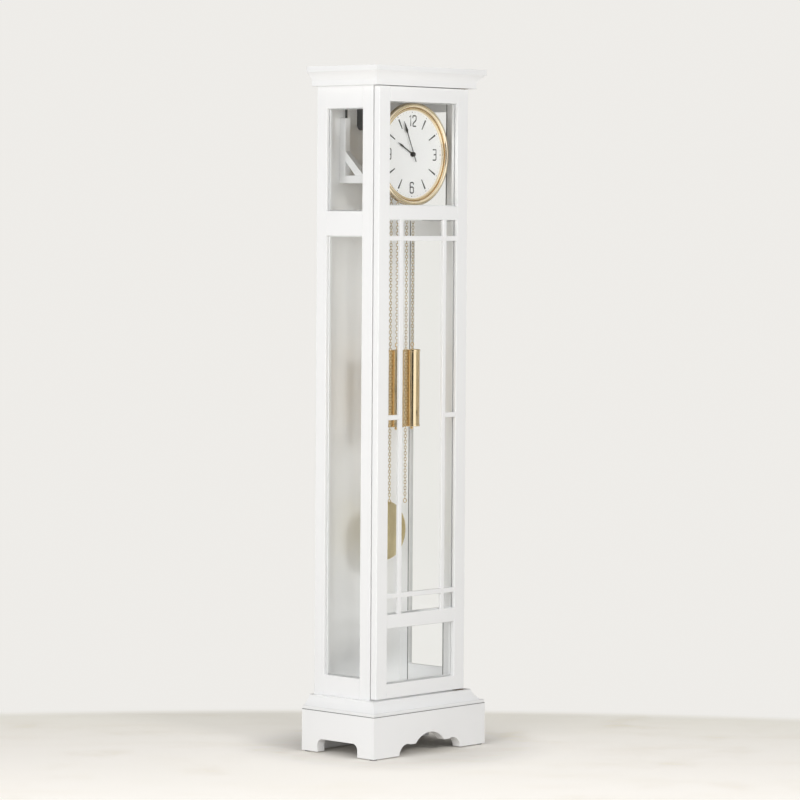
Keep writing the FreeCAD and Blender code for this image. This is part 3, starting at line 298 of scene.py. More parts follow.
# Finishes: two tones that a noise mixes, a roughness and its spread over the noise, and a fine relief
whitePaint = {"colour": (0.922, 0.925, 0.928, 1), "worn": (0.902, 0.905, 0.905, 1),
              "roughness": 0.30, "spread": 0.10, "peel": 0.10, "coat": 0.25}
paintLooks = {
    "case_paint": whitePaint,
    # the plinth and the frames carry painted shadow lines at their joints
    "plinth_paint": {**whitePaint, "seamShadow": {"axis": (0, 0, 1), "middle": 0.0, "at": 118 * mm,
                                            "half": 0.9 * mm, "inside": 1.0}},
    "frame_paint": {**whitePaint, "seamShadow": {"axis": (0, 1, 0), "middle": 31.7 * mm, "at": 67.8 * mm,
                                           "half": 1.7 * mm, "inside": 163.2 * mm}},
    "panel_paint": {"colour": (0.98, 0.98, 0.972, 1), "worn": (0.965, 0.965, 0.957, 1),
                    "roughness": 0.18, "spread": 0.07, "peel": 0.06, "coat": 0.4},
    "dial_enamel": {"colour": (0.985, 0.985, 0.985, 1), "worn": (0.97, 0.97, 0.97, 1),
                    "roughness": 0.34, "spread": 0.06, "peel": 0.05, "coat": 0.0},
}
paintTexture = {
    "cloud": {"Scale": 5.0, "Detail": 4.0},
    "grain": {"Scale": 1.0, "Detail": 3.0},
    "grainStretch": (260, 260, 9),
    "peel": {"Scale": 700.0, "Detail": 2.0},
    "peelShare": 0.6,
    "grainShare": 0.4,
    "relief": 0.4 * mm,
    "coatRoughness": 0.08,
}
# Painted shadow in a joint: a dark line painted into the paint at a distance along an axis, on both sides
# of a middle, where the paint lies inside a width across the clock
seamShadowLook = {"colour": (0.085, 0.08, 0.075, 1), "softness": 0.4 * mm}


def paintSeamShadow(place, seamShadow, tone):
    along = place.vectors("DOT_PRODUCT", seamShadow["axis"], output="Value")
    across = place.vectors("DOT_PRODUCT", (1, 0, 0), output="Value")
    apart = along.maths("ABSOLUTE", along - seamShadow["middle"])
    away = apart.maths("ABSOLUTE", apart - seamShadow["at"])
    within = across.maths("LESS_THAN", across.maths("ABSOLUTE", across), seamShadow["inside"])
    line = away.ranged(seamShadow["half"] - seamShadowLook["softness"], seamShadow["half"], low=1.0, high=0.0)
    return (line * within).mixed(tone, seamShadowLook["colour"])


def paintFinish(name):
    look, texture = paintLooks[name], paintTexture
    material, tree = newMaterial(name)
    place = tree.node("TexCoord", output="Object")
    cloud = place.noise(texture["cloud"])
    along = tree.node("Mapping", {"Vector": place, "Scale": texture["grainStretch"]})
    grain = along.noise(texture["grain"])
    peel = place.noise(texture["peel"])
    height = peel * texture["peelShare"] + grain * texture["grainShare"]
    tone = cloud.mixed(look["colour"], look["worn"])
    # paint the dark shadow line of a joint into the tone
    if "seamShadow" in look:
        tone = paintSeamShadow(place, look["seamShadow"], tone)
    setSurface(tree, tree.node("BsdfPrincipled", {
        "Base Color": tone,
        "Roughness": look["roughness"] + look["spread"] * (cloud - 0.5),
        "Coat Weight": look["coat"],
        "Coat Roughness": texture["coatRoughness"],
        "Normal": height.bumped(look["peel"], texture["relief"]),
    }))
    return material


# Drawn and ground metal: stains, and fine lines that run along the axis with the smallest number
metalLooks = {
    "polished_brass_finish": {"bright": (0.87, 0.71, 0.46, 1), "deep": (0.81, 0.62, 0.37, 1),
                              "roughness": 0.12, "spread": 0.04, "lines": (900, 900, 12), "depth": 0.04},
    "chain_brass_finish": {"bright": (0.88, 0.74, 0.47, 1), "deep": (0.54, 0.39, 0.19, 1),
                           "roughness": 0.16, "spread": 0.10, "lines": (400, 400, 400), "depth": 0.06},
    "satin_brass_finish": {"bright": (0.78, 0.60, 0.32, 1), "deep": (0.66, 0.48, 0.23, 1),
                           "roughness": 0.30, "spread": 0.14, "lines": (900, 60, 60), "depth": 0.12},
    "hinge_brass_finish": {"bright": (0.30, 0.21, 0.11, 1), "deep": (0.16, 0.10, 0.05, 1),
                           "roughness": 0.36, "spread": 0.14, "lines": (600, 600, 60), "depth": 0.12},
    "ground_steel_finish": {"bright": (0.66, 0.66, 0.65, 1), "deep": (0.52, 0.52, 0.52, 1),
                            "roughness": 0.26, "spread": 0.14, "lines": (700, 700, 30), "depth": 0.08},
}
metalTexture = {
    "stain": {"Scale": 28.0, "Detail": 4.0},
    "lines": {"Scale": 1.0, "Detail": 3.0},
    "relief": 0.2 * mm,
}


def metalFinish(name):
    look = metalLooks[name]
    material, tree = newMaterial(name)
    place = tree.node("TexCoord", output="Object")
    stain = place.noise(metalTexture["stain"])
    along = tree.node("Mapping", {"Vector": place, "Scale": look["lines"]})
    lines = along.noise(metalTexture["lines"])
    setSurface(tree, tree.node("BsdfPrincipled", {
        "Base Color": stain.mixed(look["bright"], look["deep"]),
        "Metallic": 1.0,
        "Roughness": look["roughness"] + look["spread"] * (lines * 0.5 + stain * 0.5 - 0.5),
        "Normal": lines.bumped(look["depth"], metalTexture["relief"]),
    }))
    return material


# Turned brass: rings round a middle. The bezel has painted shade in its groove and at its foot, each given
# by its distance from the middle and its reach
turnedLooks = {
    "turned_bob_finish": {"bright": (0.98, 0.87, 0.57, 1), "deep": (0.66, 0.54, 0.30, 1),
                          "roughness": 0.21, "spread": 0.12, "grooves": 520, "depth": 0.3, "paintedShade": ()},
    "turned_bezel_finish": {"bright": (0.97, 0.86, 0.67, 1), "deep": (0.91, 0.77, 0.56, 1),
                            "roughness": 0.12, "spread": 0.06, "grooves": 1500, "depth": 0.05,
                            "paintedShade": ((129.1 * mm, 1.3 * mm), (144.5 * mm, 2.8 * mm))},
}
turnedTexture = {
    "stain": {"Scale": 18.0, "Detail": 4.0},
    "groove": {"Scale": 1.0, "Detail": 3.0},
    "relief": 0.3 * mm,
    "paintedShadeColour": (0.24, 0.15, 0.07, 1),
    "paintedShadeStrength": 0.75,
}


def turnedFinish(name, centre):
    look, texture = turnedLooks[name], turnedTexture
    material, tree = newMaterial(name)
    place = tree.node("TexCoord", output="Object")
    flat = place.vectors("SUBTRACT", centre).vectors("MULTIPLY", (1, 0, 1))
    radius = flat.vectors("LENGTH", output="Value")
    groove = tree.node("TexNoise", {"W": radius * look["grooves"], **texture["groove"]},
                       noise_dimensions="1D")
    stain = place.noise(texture["stain"])
    tone = (groove * 0.5 + stain * 0.5).mixed(look["bright"], look["deep"])
    # painted shade: the groove and the foot are darkened
    for middle, reach in look["paintedShade"]:
        away = radius.maths("ABSOLUTE", radius - middle)
        shadeAmount = away.ranged(0.0, reach, low=texture["paintedShadeStrength"], high=0.0, shape="SMOOTHSTEP")
        tone = shadeAmount.mixed(tone, texture["paintedShadeColour"])
    setSurface(tree, tree.node("BsdfPrincipled", {
        "Base Color": tone,
        "Metallic": 1.0,
        "Roughness": look["roughness"] + look["spread"] * (groove - 0.5),
        "Normal": groove.bumped(look["depth"], texture["relief"]),
    }))
    return material


# Black finishes: a fine grain in the tone, the roughness and the relief
darkLooks = {
    "cast_black_finish": {"colour": (0.018, 0.018, 0.018, 1), "worn": (0.035, 0.035, 0.034, 1),
                          "roughness": 0.42, "spread": 0.2, "scale": 420.0, "depth": 0.35},
    "hand_black_finish": {"colour": (0.012, 0.012, 0.013, 1), "worn": (0.022, 0.022, 0.022, 1),
                          "roughness": 0.34, "spread": 0.1, "scale": 900.0, "depth": 0.08},
    "dial_ink_finish": {"colour": (0.006, 0.006, 0.007, 1), "worn": (0.014, 0.014, 0.015, 1),
                        "roughness": 0.5, "spread": 0.1, "scale": 1500.0, "depth": 0.1},
    "moulded_plastic_finish": {"colour": (0.05, 0.05, 0.05, 1), "worn": (0.08, 0.08, 0.08, 1),
                               "roughness": 0.5, "spread": 0.15, "scale": 900.0, "depth": 0.25},
}
darkTexture = {"detail": 3.0, "relief": 0.3 * mm}


def darkFinish(name):
    look = darkLooks[name]
    material, tree = newMaterial(name)
    place = tree.node("TexCoord", output="Object")
    grain = place.noise({"Scale": look["scale"], "Detail": darkTexture["detail"]})
    setSurface(tree, tree.node("BsdfPrincipled", {
        "Base Color": grain.mixed(look["colour"], look["worn"]),
        "Roughness": look["roughness"] + look["spread"] * (grain - 0.5),
        "Normal": grain.bumped(look["depth"], darkTexture["relief"]),
    }))
    return material


# Clear panes: a share of the mirror image on the faces that look out, and a pale tint
glassLook = {"tint": (0.994, 0.997, 0.995, 1), "gloss": (1, 1, 1, 1), "roughness": 0.015, "ior": 1.5,
             "mirrorShare": 0.65}


def glassFinish():
    material, tree = newMaterial("window_glass")
    mirror = tree.node("Fresnel", {"IOR": glassLook["ior"]})
    inside = tree.node("NewGeometry", output="Backfacing")
    share = glassLook["mirrorShare"] * mirror * (1 - inside)
    share = share.maths("MINIMUM", share, 1.0)
    clear = tree.node("BsdfTransparent", {"Color": glassLook["tint"]})
    gloss = tree.node("BsdfAnisotropic", {"Color": glassLook["gloss"], "Roughness": glassLook["roughness"]})
    setSurface(tree, tree.node("MixShader", {0: share, 1: clear, 2: gloss}))
    return material


def centreOf(name):
    low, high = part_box(name)
    return (low + high) / 2


dialCentre = centreOf("dial")
bobCentre = centreOf("pendulum_bob")
casePaint = paintFinish("case_paint")
plinthPaint = paintFinish("plinth_paint")
framePaint = paintFinish("frame_paint")
panelPaint = paintFinish("panel_paint")
dialEnamel = paintFinish("dial_enamel")
polishedBrass = metalFinish("polished_brass_finish")
satinBrass = metalFinish("satin_brass_finish")
chainBrass = metalFinish("chain_brass_finish")
hingeBrass = metalFinish("hinge_brass_finish")
groundSteel = metalFinish("ground_steel_finish")
bobBrass = turnedFinish("turned_bob_finish", bobCentre)
bezelBrass = turnedFinish("turned_bezel_finish", dialCentre)
castBlack = darkFinish("cast_black_finish")
handBlack = darkFinish("hand_black_finish")
dialInk = darkFinish("dial_ink_finish")
mouldedPlastic = darkFinish("moulded_plastic_finish")
windowGlass = glassFinish()

finishOfSlot = {
    "painted_wood": casePaint,
    "white_panel": panelPaint,
    "clear_glass": windowGlass,
    "polished_brass": polishedBrass,
    "movement_brass": satinBrass,
    "bright_steel": groundSteel,
    "black_metal": castBlack,
    "dial_white": dialEnamel,
    "dark_plastic": mouldedPlastic,
}
# Nodes that don't wear their slot's finish
finishOfNode = {
    "minute_hand": handBlack,
    "hour_hand": handBlack,
    "plinth_front": plinthPaint,
    "plinth_sides": plinthPaint,
    "base_moulding": plinthPaint,
    "side_frame_left": framePaint,
    "side_frame_right": framePaint,
    "side_beads": framePaint,
    "hinge_fixed_leaves": hingeBrass,
    "hinge_door_leaves": hingeBrass,
}


def dressNode(name, finish):
    piece = nodes[name]
    if not piece.material_slots:
        piece.data.materials.append(finish)
    for slot in piece.material_slots:
        slot.material = finish


# Every painted edge is eased, so that corners catch the light and butted pieces show their joint
easing = {"width": 0.45 * mm, "segments": 2, "angle": 40}


def easeEdges(name):
    eased = nodes[name].modifiers.new("eased_edges", "BEVEL")
    eased.width = easing["width"]
    eased.segments = easing["segments"]
    eased.limit_method = "ANGLE"
    eased.angle_limit = math.radians(easing["angle"])
    eased.harden_normals = True


for subpart in frame["record"]["subparts"]:
    slotFinish = finishOfSlot[subpart["material_slot"]]
    dressNode(subpart["node"], finishOfNode.get(subpart["node"], slotFinish))
    if subpart["material_slot"] == "painted_wood":
        easeEdges(subpart["node"])
print("finishes made")


# Modelling helpers
weld = mm / 100  # points nearer than this are one
smoothAngle = {"turned": 30, "wire": 180, "links": 80, "knurl": 25, "screws": 35}


def startPiece(kind, name, **settings):
    deselectAll()
    getattr(bpy.ops.mesh, "primitive_" + kind + "_add")(**settings)
    piece = bpy.context.object
    piece.name = name
    piece.data.name = name
    return piece


def pickOnly(piece):
    deselectAll()
    piece.select_set(True)
    bpy.context.view_layer.objects.active = piece


def editWhole():
    bpy.ops.object.mode_set(mode="EDIT")
    bpy.ops.mesh.select_all(action="SELECT")


def pickParts(piece, part, test):
    # select the vertices or polygons that pass the test, from edit mode
    bpy.ops.mesh.select_mode(type={"vertices": "VERT", "polygons": "FACE"}[part])
    bpy.ops.mesh.select_all(action="DESELECT")
    bpy.ops.object.mode_set(mode="OBJECT")
    for item in getattr(piece.data, part):
        item.select = test(item)
    bpy.ops.object.mode_set(mode="EDIT")


def settle(piece):
    # leave edit mode with the piece's place in its mesh
    pickOnly(piece)
    bpy.ops.object.transform_apply(location=True, rotation=True, scale=True)
    return piece


def smooth(piece, kind):
    pickOnly(piece)
    bpy.ops.object.shade_smooth_by_angle(angle=math.radians(smoothAngle[kind]))
    return piece


def finishPiece(piece, finish, slot, body, *replaced):
    piece.data.materials.clear()
    piece.data.materials.append(finish)
    if body:
        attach(piece, body)
    if replaced:
        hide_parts(*replaced)


def joinPieces(pieces, name):
    deselectAll()
    for piece in pieces:
        piece.select_set(True)
    bpy.context.view_layer.objects.active = pieces[0]
    bpy.ops.object.join()
    joined = bpy.context.object
    joined.name = name
    joined.data.name = name
    return joined


def startPath(name, points):
    # edges from point to point, left in edit mode
    path = startPiece("plane", name, size=mm, location=points[0])
    editWhole()
    bpy.ops.mesh.merge(type="CENTER")
    for here, there in zip(points, points[1:]):
        bpy.ops.mesh.extrude_region_move(TRANSFORM_OT_translate={"value": there - here})
    return path


def turnPiece(name, centre, profile, axis, steps):
    # profile: (radius, height) from the axis and back to it, spun round an axis through centre
    along = Vector(axis)
    across = Vector((1, 0, 0))
    points = [Vector(centre) + across * radius + along * height for radius, height in profile]
    piece = startPath(name, points)
    bpy.ops.mesh.select_all(action="SELECT")
    bpy.ops.mesh.spin(steps=steps, angle=2 * math.pi, center=centre, axis=axis)
    bpy.ops.mesh.select_all(action="SELECT")
    bpy.ops.mesh.remove_doubles(threshold=weld)
    bpy.ops.mesh.normals_make_consistent(inside=False)
    return smooth(settle(piece), "turned")


def roundOver(radius, height, across, along, first, last, count):
    # points of an elliptical arc round (radius, height), angles in degrees
    points = []
    for step in range(count + 1):
        angle = math.radians(first + (last - first) * step / count)
        points.append((radius + across * math.cos(angle), height + along * math.sin(angle)))
    return points


# Bezel: a broad rolled band, a dark groove and a narrower lip round the dial
bezel = {
    "inner": 121.6 * mm,
    "lipWidth": 6.4 * mm,
    "lipHeight": 5.0 * mm,
    "lipEnd": 12,
    "lipPoints": 9,
    "grooveWidth": 2.2 * mm,
    "grooveHeight": 1.4 * mm,
    "grooveFloor": 0.7,
    "bandRise": 12.0 * mm,
    "bandSide": 5.6 * mm,
    "bandPoints": 18,
    "outer": 144 * mm,
    "steps": 160,
}


def makeBezel():
    look = bezel
    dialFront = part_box("dial")[0].y
    lipMiddle = look["inner"] + look["lipWidth"] / 2
    grooveEnd = look["inner"] + look["lipWidth"] + look["grooveWidth"]
    bandMiddle = (grooveEnd + look["outer"]) / 2
    bandHalf = (look["outer"] - grooveEnd) / 2
    bandArc = look["bandRise"] - look["bandSide"]
    profile = [(look["inner"], 0)]
    profile += roundOver(lipMiddle, look["lipHeight"] / 2, look["lipWidth"] / 2, look["lipHeight"] / 2,
                         180, look["lipEnd"], look["lipPoints"])
    profile += [(grooveEnd - look["grooveWidth"] * look["grooveFloor"], look["grooveHeight"])]
    profile += [(grooveEnd, look["grooveHeight"])]
    profile += roundOver(bandMiddle, look["bandSide"], bandHalf, bandArc, 180, 0, look["bandPoints"])
    profile += [(look["outer"], 0), (look["inner"], 0)]
    place = Vector((dialCentre.x, dialFront, dialCentre.z))
    ring = turnPiece("dial_bezel", place, profile, (0, -1, 0), look["steps"])
    finishPiece(ring, bezelBrass, "polished_brass", "root", "bezel")


# Dial print: slim upright numerals, tapered bars and minute dots
dialPrint = {
    "numeralRadius": 92.5 * mm,
    "numeralHeight": 29 * mm,
    "numeralWidth": 13.5 * mm,
    "numeralGap": 5 * mm,
    "stroke": 3.5 * mm,
    "strokeRounding": 2,
    "cornerRadius": 3.6 * mm,
    "cornerSteps": 4,
    "inkRise": 0.12 * mm,
    "barInner": 80 * mm,
    "barOuter": 110 * mm,
    "barInnerWidth": 2.8 * mm,
    "barOuterWidth": 5.2 * mm,
    "dotRadius": 116.5 * mm,
    "dotSize": 0.7 * mm,
    "hourDotSize": 1.5 * mm,
    "dotSides": 8,
    "hours": 12,
    "minutes": 60,
}
# Each numeral's strokes, as shares of its width and height
numeralShares = {
    "1": [[(0.35, 0.86), (0.75, 1.0), (0.75, 0.0)]],
    "2": [[(0.0, 0.76), (0.0, 1.0), (1.0, 1.0), (1.0, 0.58), (0.0, 0.22), (0.0, 0.0), (1.0, 0.0)]],
    "3": [[(0.0, 1.0), (1.0, 1.0), (1.0, 0.0), (0.0, 0.0)], [(0.3, 0.52), (1.0, 0.52)]],
    "6": [[(1.0, 0.80), (1.0, 1.0), (0.0, 1.0), (0.0, 0.0), (1.0, 0.0), (1.0, 0.56), (0.0, 0.56)]],
    "9": [[(0.0, 0.20), (0.0, 0.0), (1.0, 0.0), (1.0, 1.0), (0.0, 1.0), (0.0, 0.44), (1.0, 0.44)]],
}


def inkStroke(name, points, plane):
    # a flat printed line through points (x, z)
    look = dialPrint
    path = startPath(name, [Vector((x, plane, z)) for x, z in points])
    last = len(points) - 1
    pickParts(path, "vertices", lambda vertex: 0 < vertex.index < last)
    bpy.ops.mesh.bevel(offset=look["cornerRadius"], segments=look["cornerSteps"], affect="VERTICES")
    bpy.ops.object.mode_set(mode="OBJECT")
    bpy.ops.object.convert(target="CURVE")
    line = bpy.context.object
    line.data.dimensions = "3D"
    line.data.bevel_depth = look["stroke"] / 2
    line.data.bevel_resolution = look["strokeRounding"]
    line.data.use_fill_caps = True
    bpy.ops.object.convert(target="MESH")
    mark = bpy.context.object
    mark.scale.y = look["inkRise"] / look["stroke"]
    bpy.ops.object.transform_apply(location=True, rotation=True, scale=True)
    return mark


def numeralMarks(text, centre, plane):
    # one figure or more beside each other, their middle at centre (x, z)
    look = dialPrint
    width, height = look["numeralWidth"], look["numeralHeight"]
    total = width * len(text) + look["numeralGap"] * (len(text) - 1)
    marks = []
    for place, figure in enumerate(text):
        left = centre[0] - total / 2 + place * (width + look["numeralGap"])
        bottom = centre[1] - height / 2
        for stroke in numeralShares[figure]:
            points = [(left + across * width, bottom + up * height) for across, up in stroke]
            marks.append(inkStroke("numeral_" + figure, points, plane))
    return marks


def hourBars(plane):
    look = dialPrint
    length = look["barOuter"] - look["barInner"]
    middle = dialCentre.z + (look["barInner"] + look["barOuter"]) / 2
    bars = startPiece("cube", "hour_bars", size=1, location=(dialCentre.x, plane, middle),
                      scale=(look["barInnerWidth"], look["inkRise"], length))
    editWhole()
    pickParts(bars, "vertices", lambda vertex: vertex.co.z > 0)
    taper = look["barOuterWidth"] / look["barInnerWidth"]
    bpy.ops.transform.resize(value=(taper, 1, 1), center_override=(dialCentre.x, plane, middle))
    bpy.ops.mesh.select_all(action="SELECT")
    bpy.ops.mesh.spin(steps=look["hours"], angle=2 * math.pi, dupli=True, axis=(0, 1, 0),
                      center=(dialCentre.x, plane, dialCentre.z))
    settle(bars)
    # the upright and level bars give way to the numerals
    bpy.ops.object.mode_set(mode="EDIT")
    near = look["barOuterWidth"]
    pickParts(bars, "vertices", lambda vertex: min(abs(vertex.co.x - dialCentre.x),
                                                   abs(vertex.co.z - dialCentre.z)) < near)
    bpy.ops.mesh.delete(type="VERT")
    bpy.ops.object.mode_set(mode="OBJECT")
    return bars


def dotRing(name, size, count, plane):
    dots = startPiece("cylinder", name, vertices=dialPrint["dotSides"], radius=size,
                      depth=dialPrint["inkRise"],
                      location=(dialCentre.x, plane, dialCentre.z + dialPrint["dotRadius"]),
                      rotation=(math.pi / 2, 0, 0))
    editWhole()
    bpy.ops.mesh.spin(steps=count, angle=2 * math.pi, dupli=True, axis=(0, 1, 0),
                      center=(dialCentre.x, plane, dialCentre.z))
    bpy.ops.mesh.select_all(action="SELECT")
    bpy.ops.mesh.remove_doubles(threshold=weld)
    return settle(dots)


def makeDialPrint():
    look = dialPrint
    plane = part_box("dial")[0].y - look["inkRise"] / 2
    reach = look["numeralRadius"]
    spots = {"12": (0, reach), "3": (reach, 0), "6": (0, -reach), "9": (-reach, 0)}
    marks = []
    for text, (across, up) in spots.items():
        marks += numeralMarks(text, (dialCentre.x + across, dialCentre.z + up), plane)
    marks += [hourBars(plane), dotRing("minute_dots", look["dotSize"], look["minutes"], plane),
              dotRing("hour_dots", look["hourDotSize"], look["hours"], plane)]
    finishPiece(joinPieces(marks, "dial_print"), dialInk, "black_metal", "root")


# The washer and domed nut that hold the hands
handNut = {"radius": 4.2 * mm, "height": 3.0 * mm, "washer": 6.0 * mm, "washerHeight": 0.8 * mm,
           "points": 6, "steps": 32}


def makeHandNut():
    look = handNut
    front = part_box("minute_hand")[0].y
    profile = [(0, 0), (look["washer"], 0), (look["washer"], look["washerHeight"]),
               (look["radius"], look["washerHeight"])]
    profile += roundOver(0, look["washerHeight"], look["radius"], look["height"], 0, 90, look["points"])
    place = Vector((dialCentre.x, front, dialCentre.z))
    nut = turnPiece("hand_nut", place, profile, (0, -1, 0), look["steps"])
    finishPiece(nut, handBlack, "black_metal", "minute_hand")


makeBezel()
makeDialPrint()
makeHandNut()
print("dial dressed")

# Weights: brass tubes with lipped caps, a small finial below and a hook eye above
sides = ("left", "centre", "right")
weight = {
    "radius": 21.5 * mm,
    "capRadius": 22.6 * mm,
    "capHeight": 7 * mm,
    "lip": 1.0 * mm,
    "lipPoints": 3,
    "finial": 5 * mm,
    "finialDrop": 9 * mm,
    "finialMiddle": 0.55,
    "finialNeck": 0.5,
    "finialPoints": 8,
    "neck": 1.6 * mm,
    "collar": 6 * mm,
    "height": 216 * mm,
    "eyeRadius": 5.5 * mm,
    "eyeWire": 1.5 * mm,
    "eyeSegments": 28,
    "eyeWireSides": 10,
    "steps": 64,
}


def weightProfile():
    look = weight
    cap, lip, top = look["capHeight"], look["lip"], look["height"]
    outer, inner, points = look["capRadius"], look["radius"], look["lipPoints"]
    finialMiddle = -look["finialDrop"] * look["finialMiddle"]
    profile = [(0, -look["finialDrop"])]
    profile += roundOver(0, finialMiddle, look["finial"], look["finialDrop"] + finialMiddle,
                         -75, 60, look["finialPoints"])
    profile += [(look["finial"] * look["finialNeck"], 0), (outer - lip, 0)]
    profile += roundOver(outer - lip, lip, lip, lip, -60, 0, points)
    profile += roundOver(outer - lip, cap - lip, lip, lip, 0, 80, points)
    profile += [(inner, cap), (inner, top - cap)]
    profile += roundOver(outer - lip, top - cap + lip, lip, lip, -80, 0, points)
    profile += roundOver(outer - lip, top - lip, lip, lip, 0, 80, points)
    profile += [(look["collar"], top), (look["collar"], top + lip), (look["neck"] + lip, top + lip * 2)]
    profile += [(look["neck"], top + lip * 4), (look["neck"], top + cap + lip), (0, top + cap + lip)]
    return profile


def makeWeight(side):
    low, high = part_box("weight_" + side)
    middle = (low + high) / 2
    foot = Vector((middle.x, middle.y, low.z + weight["finialDrop"]))
    shell = turnPiece("brass_weight_" + side, foot, weightProfile(), (0, 0, 1), weight["steps"])
    eyeHeight = high.z - weight["eyeRadius"] - weight["eyeWire"]
    eye = startPiece("torus", "weight_eye_" + side, location=(middle.x, middle.y, eyeHeight),
                     rotation=(math.pi / 2, 0, 0), major_radius=weight["eyeRadius"],
                     minor_radius=weight["eyeWire"], major_segments=weight["eyeSegments"],
                     minor_segments=weight["eyeWireSides"])
    smooth(settle(eye), "wire")
    whole = joinPieces([shell, eye], "brass_weight_" + side)
    finishPiece(whole, polishedBrass, "polished_brass", "weight_" + side, "weight_" + side)


# Chains: oval links, every second one turned a quarter
chain = {
    "pitch": 8.1 * mm,
    "width": 7.6 * mm,
    "wrapWidth": 5.4 * mm,
    "wire": 1.75 * mm,
    "twist": 45,
    "segments": 12,
    "wireSides": 5,
    "top": 1640 * mm,
    "wrapRadius": 13 * mm,
    "wrapLinks": 5,
    "ringWire": 1.2 * mm,
    "ringSegments": 28,
    "ringWireSides": 8,
}


def makeLink(name, centre, pitch, width):
    # one link in the plane that faces the front, drawn long from a ring
    ringRadius = (width - chain["wire"]) / 2
    link = startPiece("torus", name, location=centre, rotation=(math.pi / 2, 0, 0),
                      major_radius=ringRadius, minor_radius=chain["wire"] / 2,
                      major_segments=chain["segments"], minor_segments=chain["wireSides"])
    settle(link)
    reach = (pitch + chain["wire"]) / 2 - ringRadius
    bpy.ops.object.mode_set(mode="EDIT")
    for way in (1, -1):
        pickParts(link, "vertices", lambda vertex: (vertex.co.z - centre[2]) * way > weld)
        bpy.ops.transform.translate(value=(0, 0, reach * way))
    return link


def makeStrand(name, top, bottom):
    # pairs of links from top down to bottom, their pitch set so that the last one ends there
    length = top.z - bottom
    pairs = max(1, round(length / chain["pitch"] / 2))
    pitch = length / pairs / 2
    first = (top.x, top.y, top.z - pitch / 2)
    strand = makeLink(name, first, pitch, chain["width"])
    bpy.ops.mesh.select_all(action="SELECT")
    bpy.ops.transform.rotate(value=math.radians(chain["twist"]), orient_axis="Z", center_override=first)
    bpy.ops.mesh.duplicate()
    bpy.ops.transform.rotate(value=math.pi / 2, orient_axis="Z", center_override=first)
    bpy.ops.transform.translate(value=(0, 0, -pitch))
    bpy.ops.object.mode_set(mode="OBJECT")
    rows = strand.modifiers.new("rows", "ARRAY")
    rows.count = pairs
    rows.use_relative_offset = False
    rows.use_constant_offset = True
    rows.constant_offset_displace = (0, 0, -2 * pitch)
    bpy.ops.object.modifier_apply(modifier=rows.name)
    return smooth(strand, "links")


def strandEnds(node):
    low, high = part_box(node)
    middle = (low + high) / 2
    return Vector((middle.x, middle.y, high.z)), low.z


def makeChains(side):
    for word, body in (("chain_", "weight_"), ("free_chain_", "ring_")):
        top, bottom = strandEnds(word + side)
        strand = makeStrand("linked_" + word + side, top, bottom)
        finishPiece(strand, chainBrass, "movement_brass", None, word + side)
        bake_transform(strand)
    low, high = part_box("chain_ring_" + side)
    ring = startPiece("torus", "end_ring_" + side, location=(low + high) / 2, rotation=(0, math.pi / 2, 0),
                      major_radius=(high.z - low.z) / 2 - chain["ringWire"], minor_radius=chain["ringWire"],
                      major_segments=chain["ringSegments"], minor_segments=chain["ringWireSides"])
    smooth(settle(ring), "wire")
    finishPiece(ring, chainBrass, "movement_brass", "ring_" + side, "chain_ring_" + side)


def makeWraps():
    # the links over each sprocket, following the half turn
    links = []
    step = math.pi / chain["wrapLinks"]
    pitch = 2 * chain["wrapRadius"] * math.sin(step / 2)
    reach = chain["wrapRadius"] * math.cos(step / 2)
    for side in sides:
        middle = centreOf("sprocket_" + side)
        for number in range(chain["wrapLinks"]):
            angle = step * (number + 0.5)
            spot = Vector((middle.x + reach * math.cos(angle), strandEnds("chain_" + side)[0].y,
                           chain["top"] + reach * math.sin(angle)))
            link = makeLink("wrap_link", spot, pitch, chain["wrapWidth"])
            bpy.ops.object.mode_set(mode="OBJECT")
            turn = Quaternion((0, 1, 0), -angle)
            if number % 2:
                turn = turn @ Quaternion((0, 0, 1), math.pi / 2)
            bpy.context.scene.cursor.location = spot
            bpy.ops.object.origin_set(type="ORIGIN_CURSOR")
            link.rotation_mode = "QUATERNION"
            link.rotation_quaternion = turn
            settle(link)
            links.append(link)
    wraps = smooth(joinPieces(links, "linked_wraps"), "links")
    finishPiece(wraps, chainBrass, "movement_brass", "root", "chain_wraps")


for side in sides:
    makeWeight(side)
    makeChains(side)
makeWraps()
print("weights and chains hung")

# Pendulum: turned bob with a rolled rim and a knurled rating nut
bob = {
    "radius": 83 * mm,
    "half": 10 * mm,
    "edgeHalf": 4 * mm,
    "rim": 2.6 * mm,
    "rimHalf": 4.6 * mm,
    "rimReach": 120,
    "rimPoints": 10,
    "rings": 9,
    "steps": 144,
}


def bobFace(way):
    # the domed face from its middle to its rim
    look = bob
    edge = look["radius"] - look["rim"]
    points = []
    for ring in range(look["rings"] + 1):
        share = ring / look["rings"]
        fall = (look["half"] - look["edgeHalf"]) * share * share
        points.append((edge * share, way * (look["half"] - fall)))
    return points


def makeBob():
    look = bob
    profile = bobFace(-1)
    profile += roundOver(look["radius"] - look["rim"] / 2, 0, look["rim"] / 2, look["rimHalf"],
                         -look["rimReach"], look["rimReach"], look["rimPoints"])
    profile += bobFace(1)[::-1]
    disc = turnPiece("brass_bob", bobCentre, profile, (0, 1, 0), look["steps"])
    finishPiece(disc, bobBrass, "polished_brass", "pendulum", "pendulum_bob")


ratingNut = {"sides": 36, "bevel": 0.6 * mm, "bevelSteps": 2, "groove": 0.5 * mm, "knurl": 0.25 * mm}


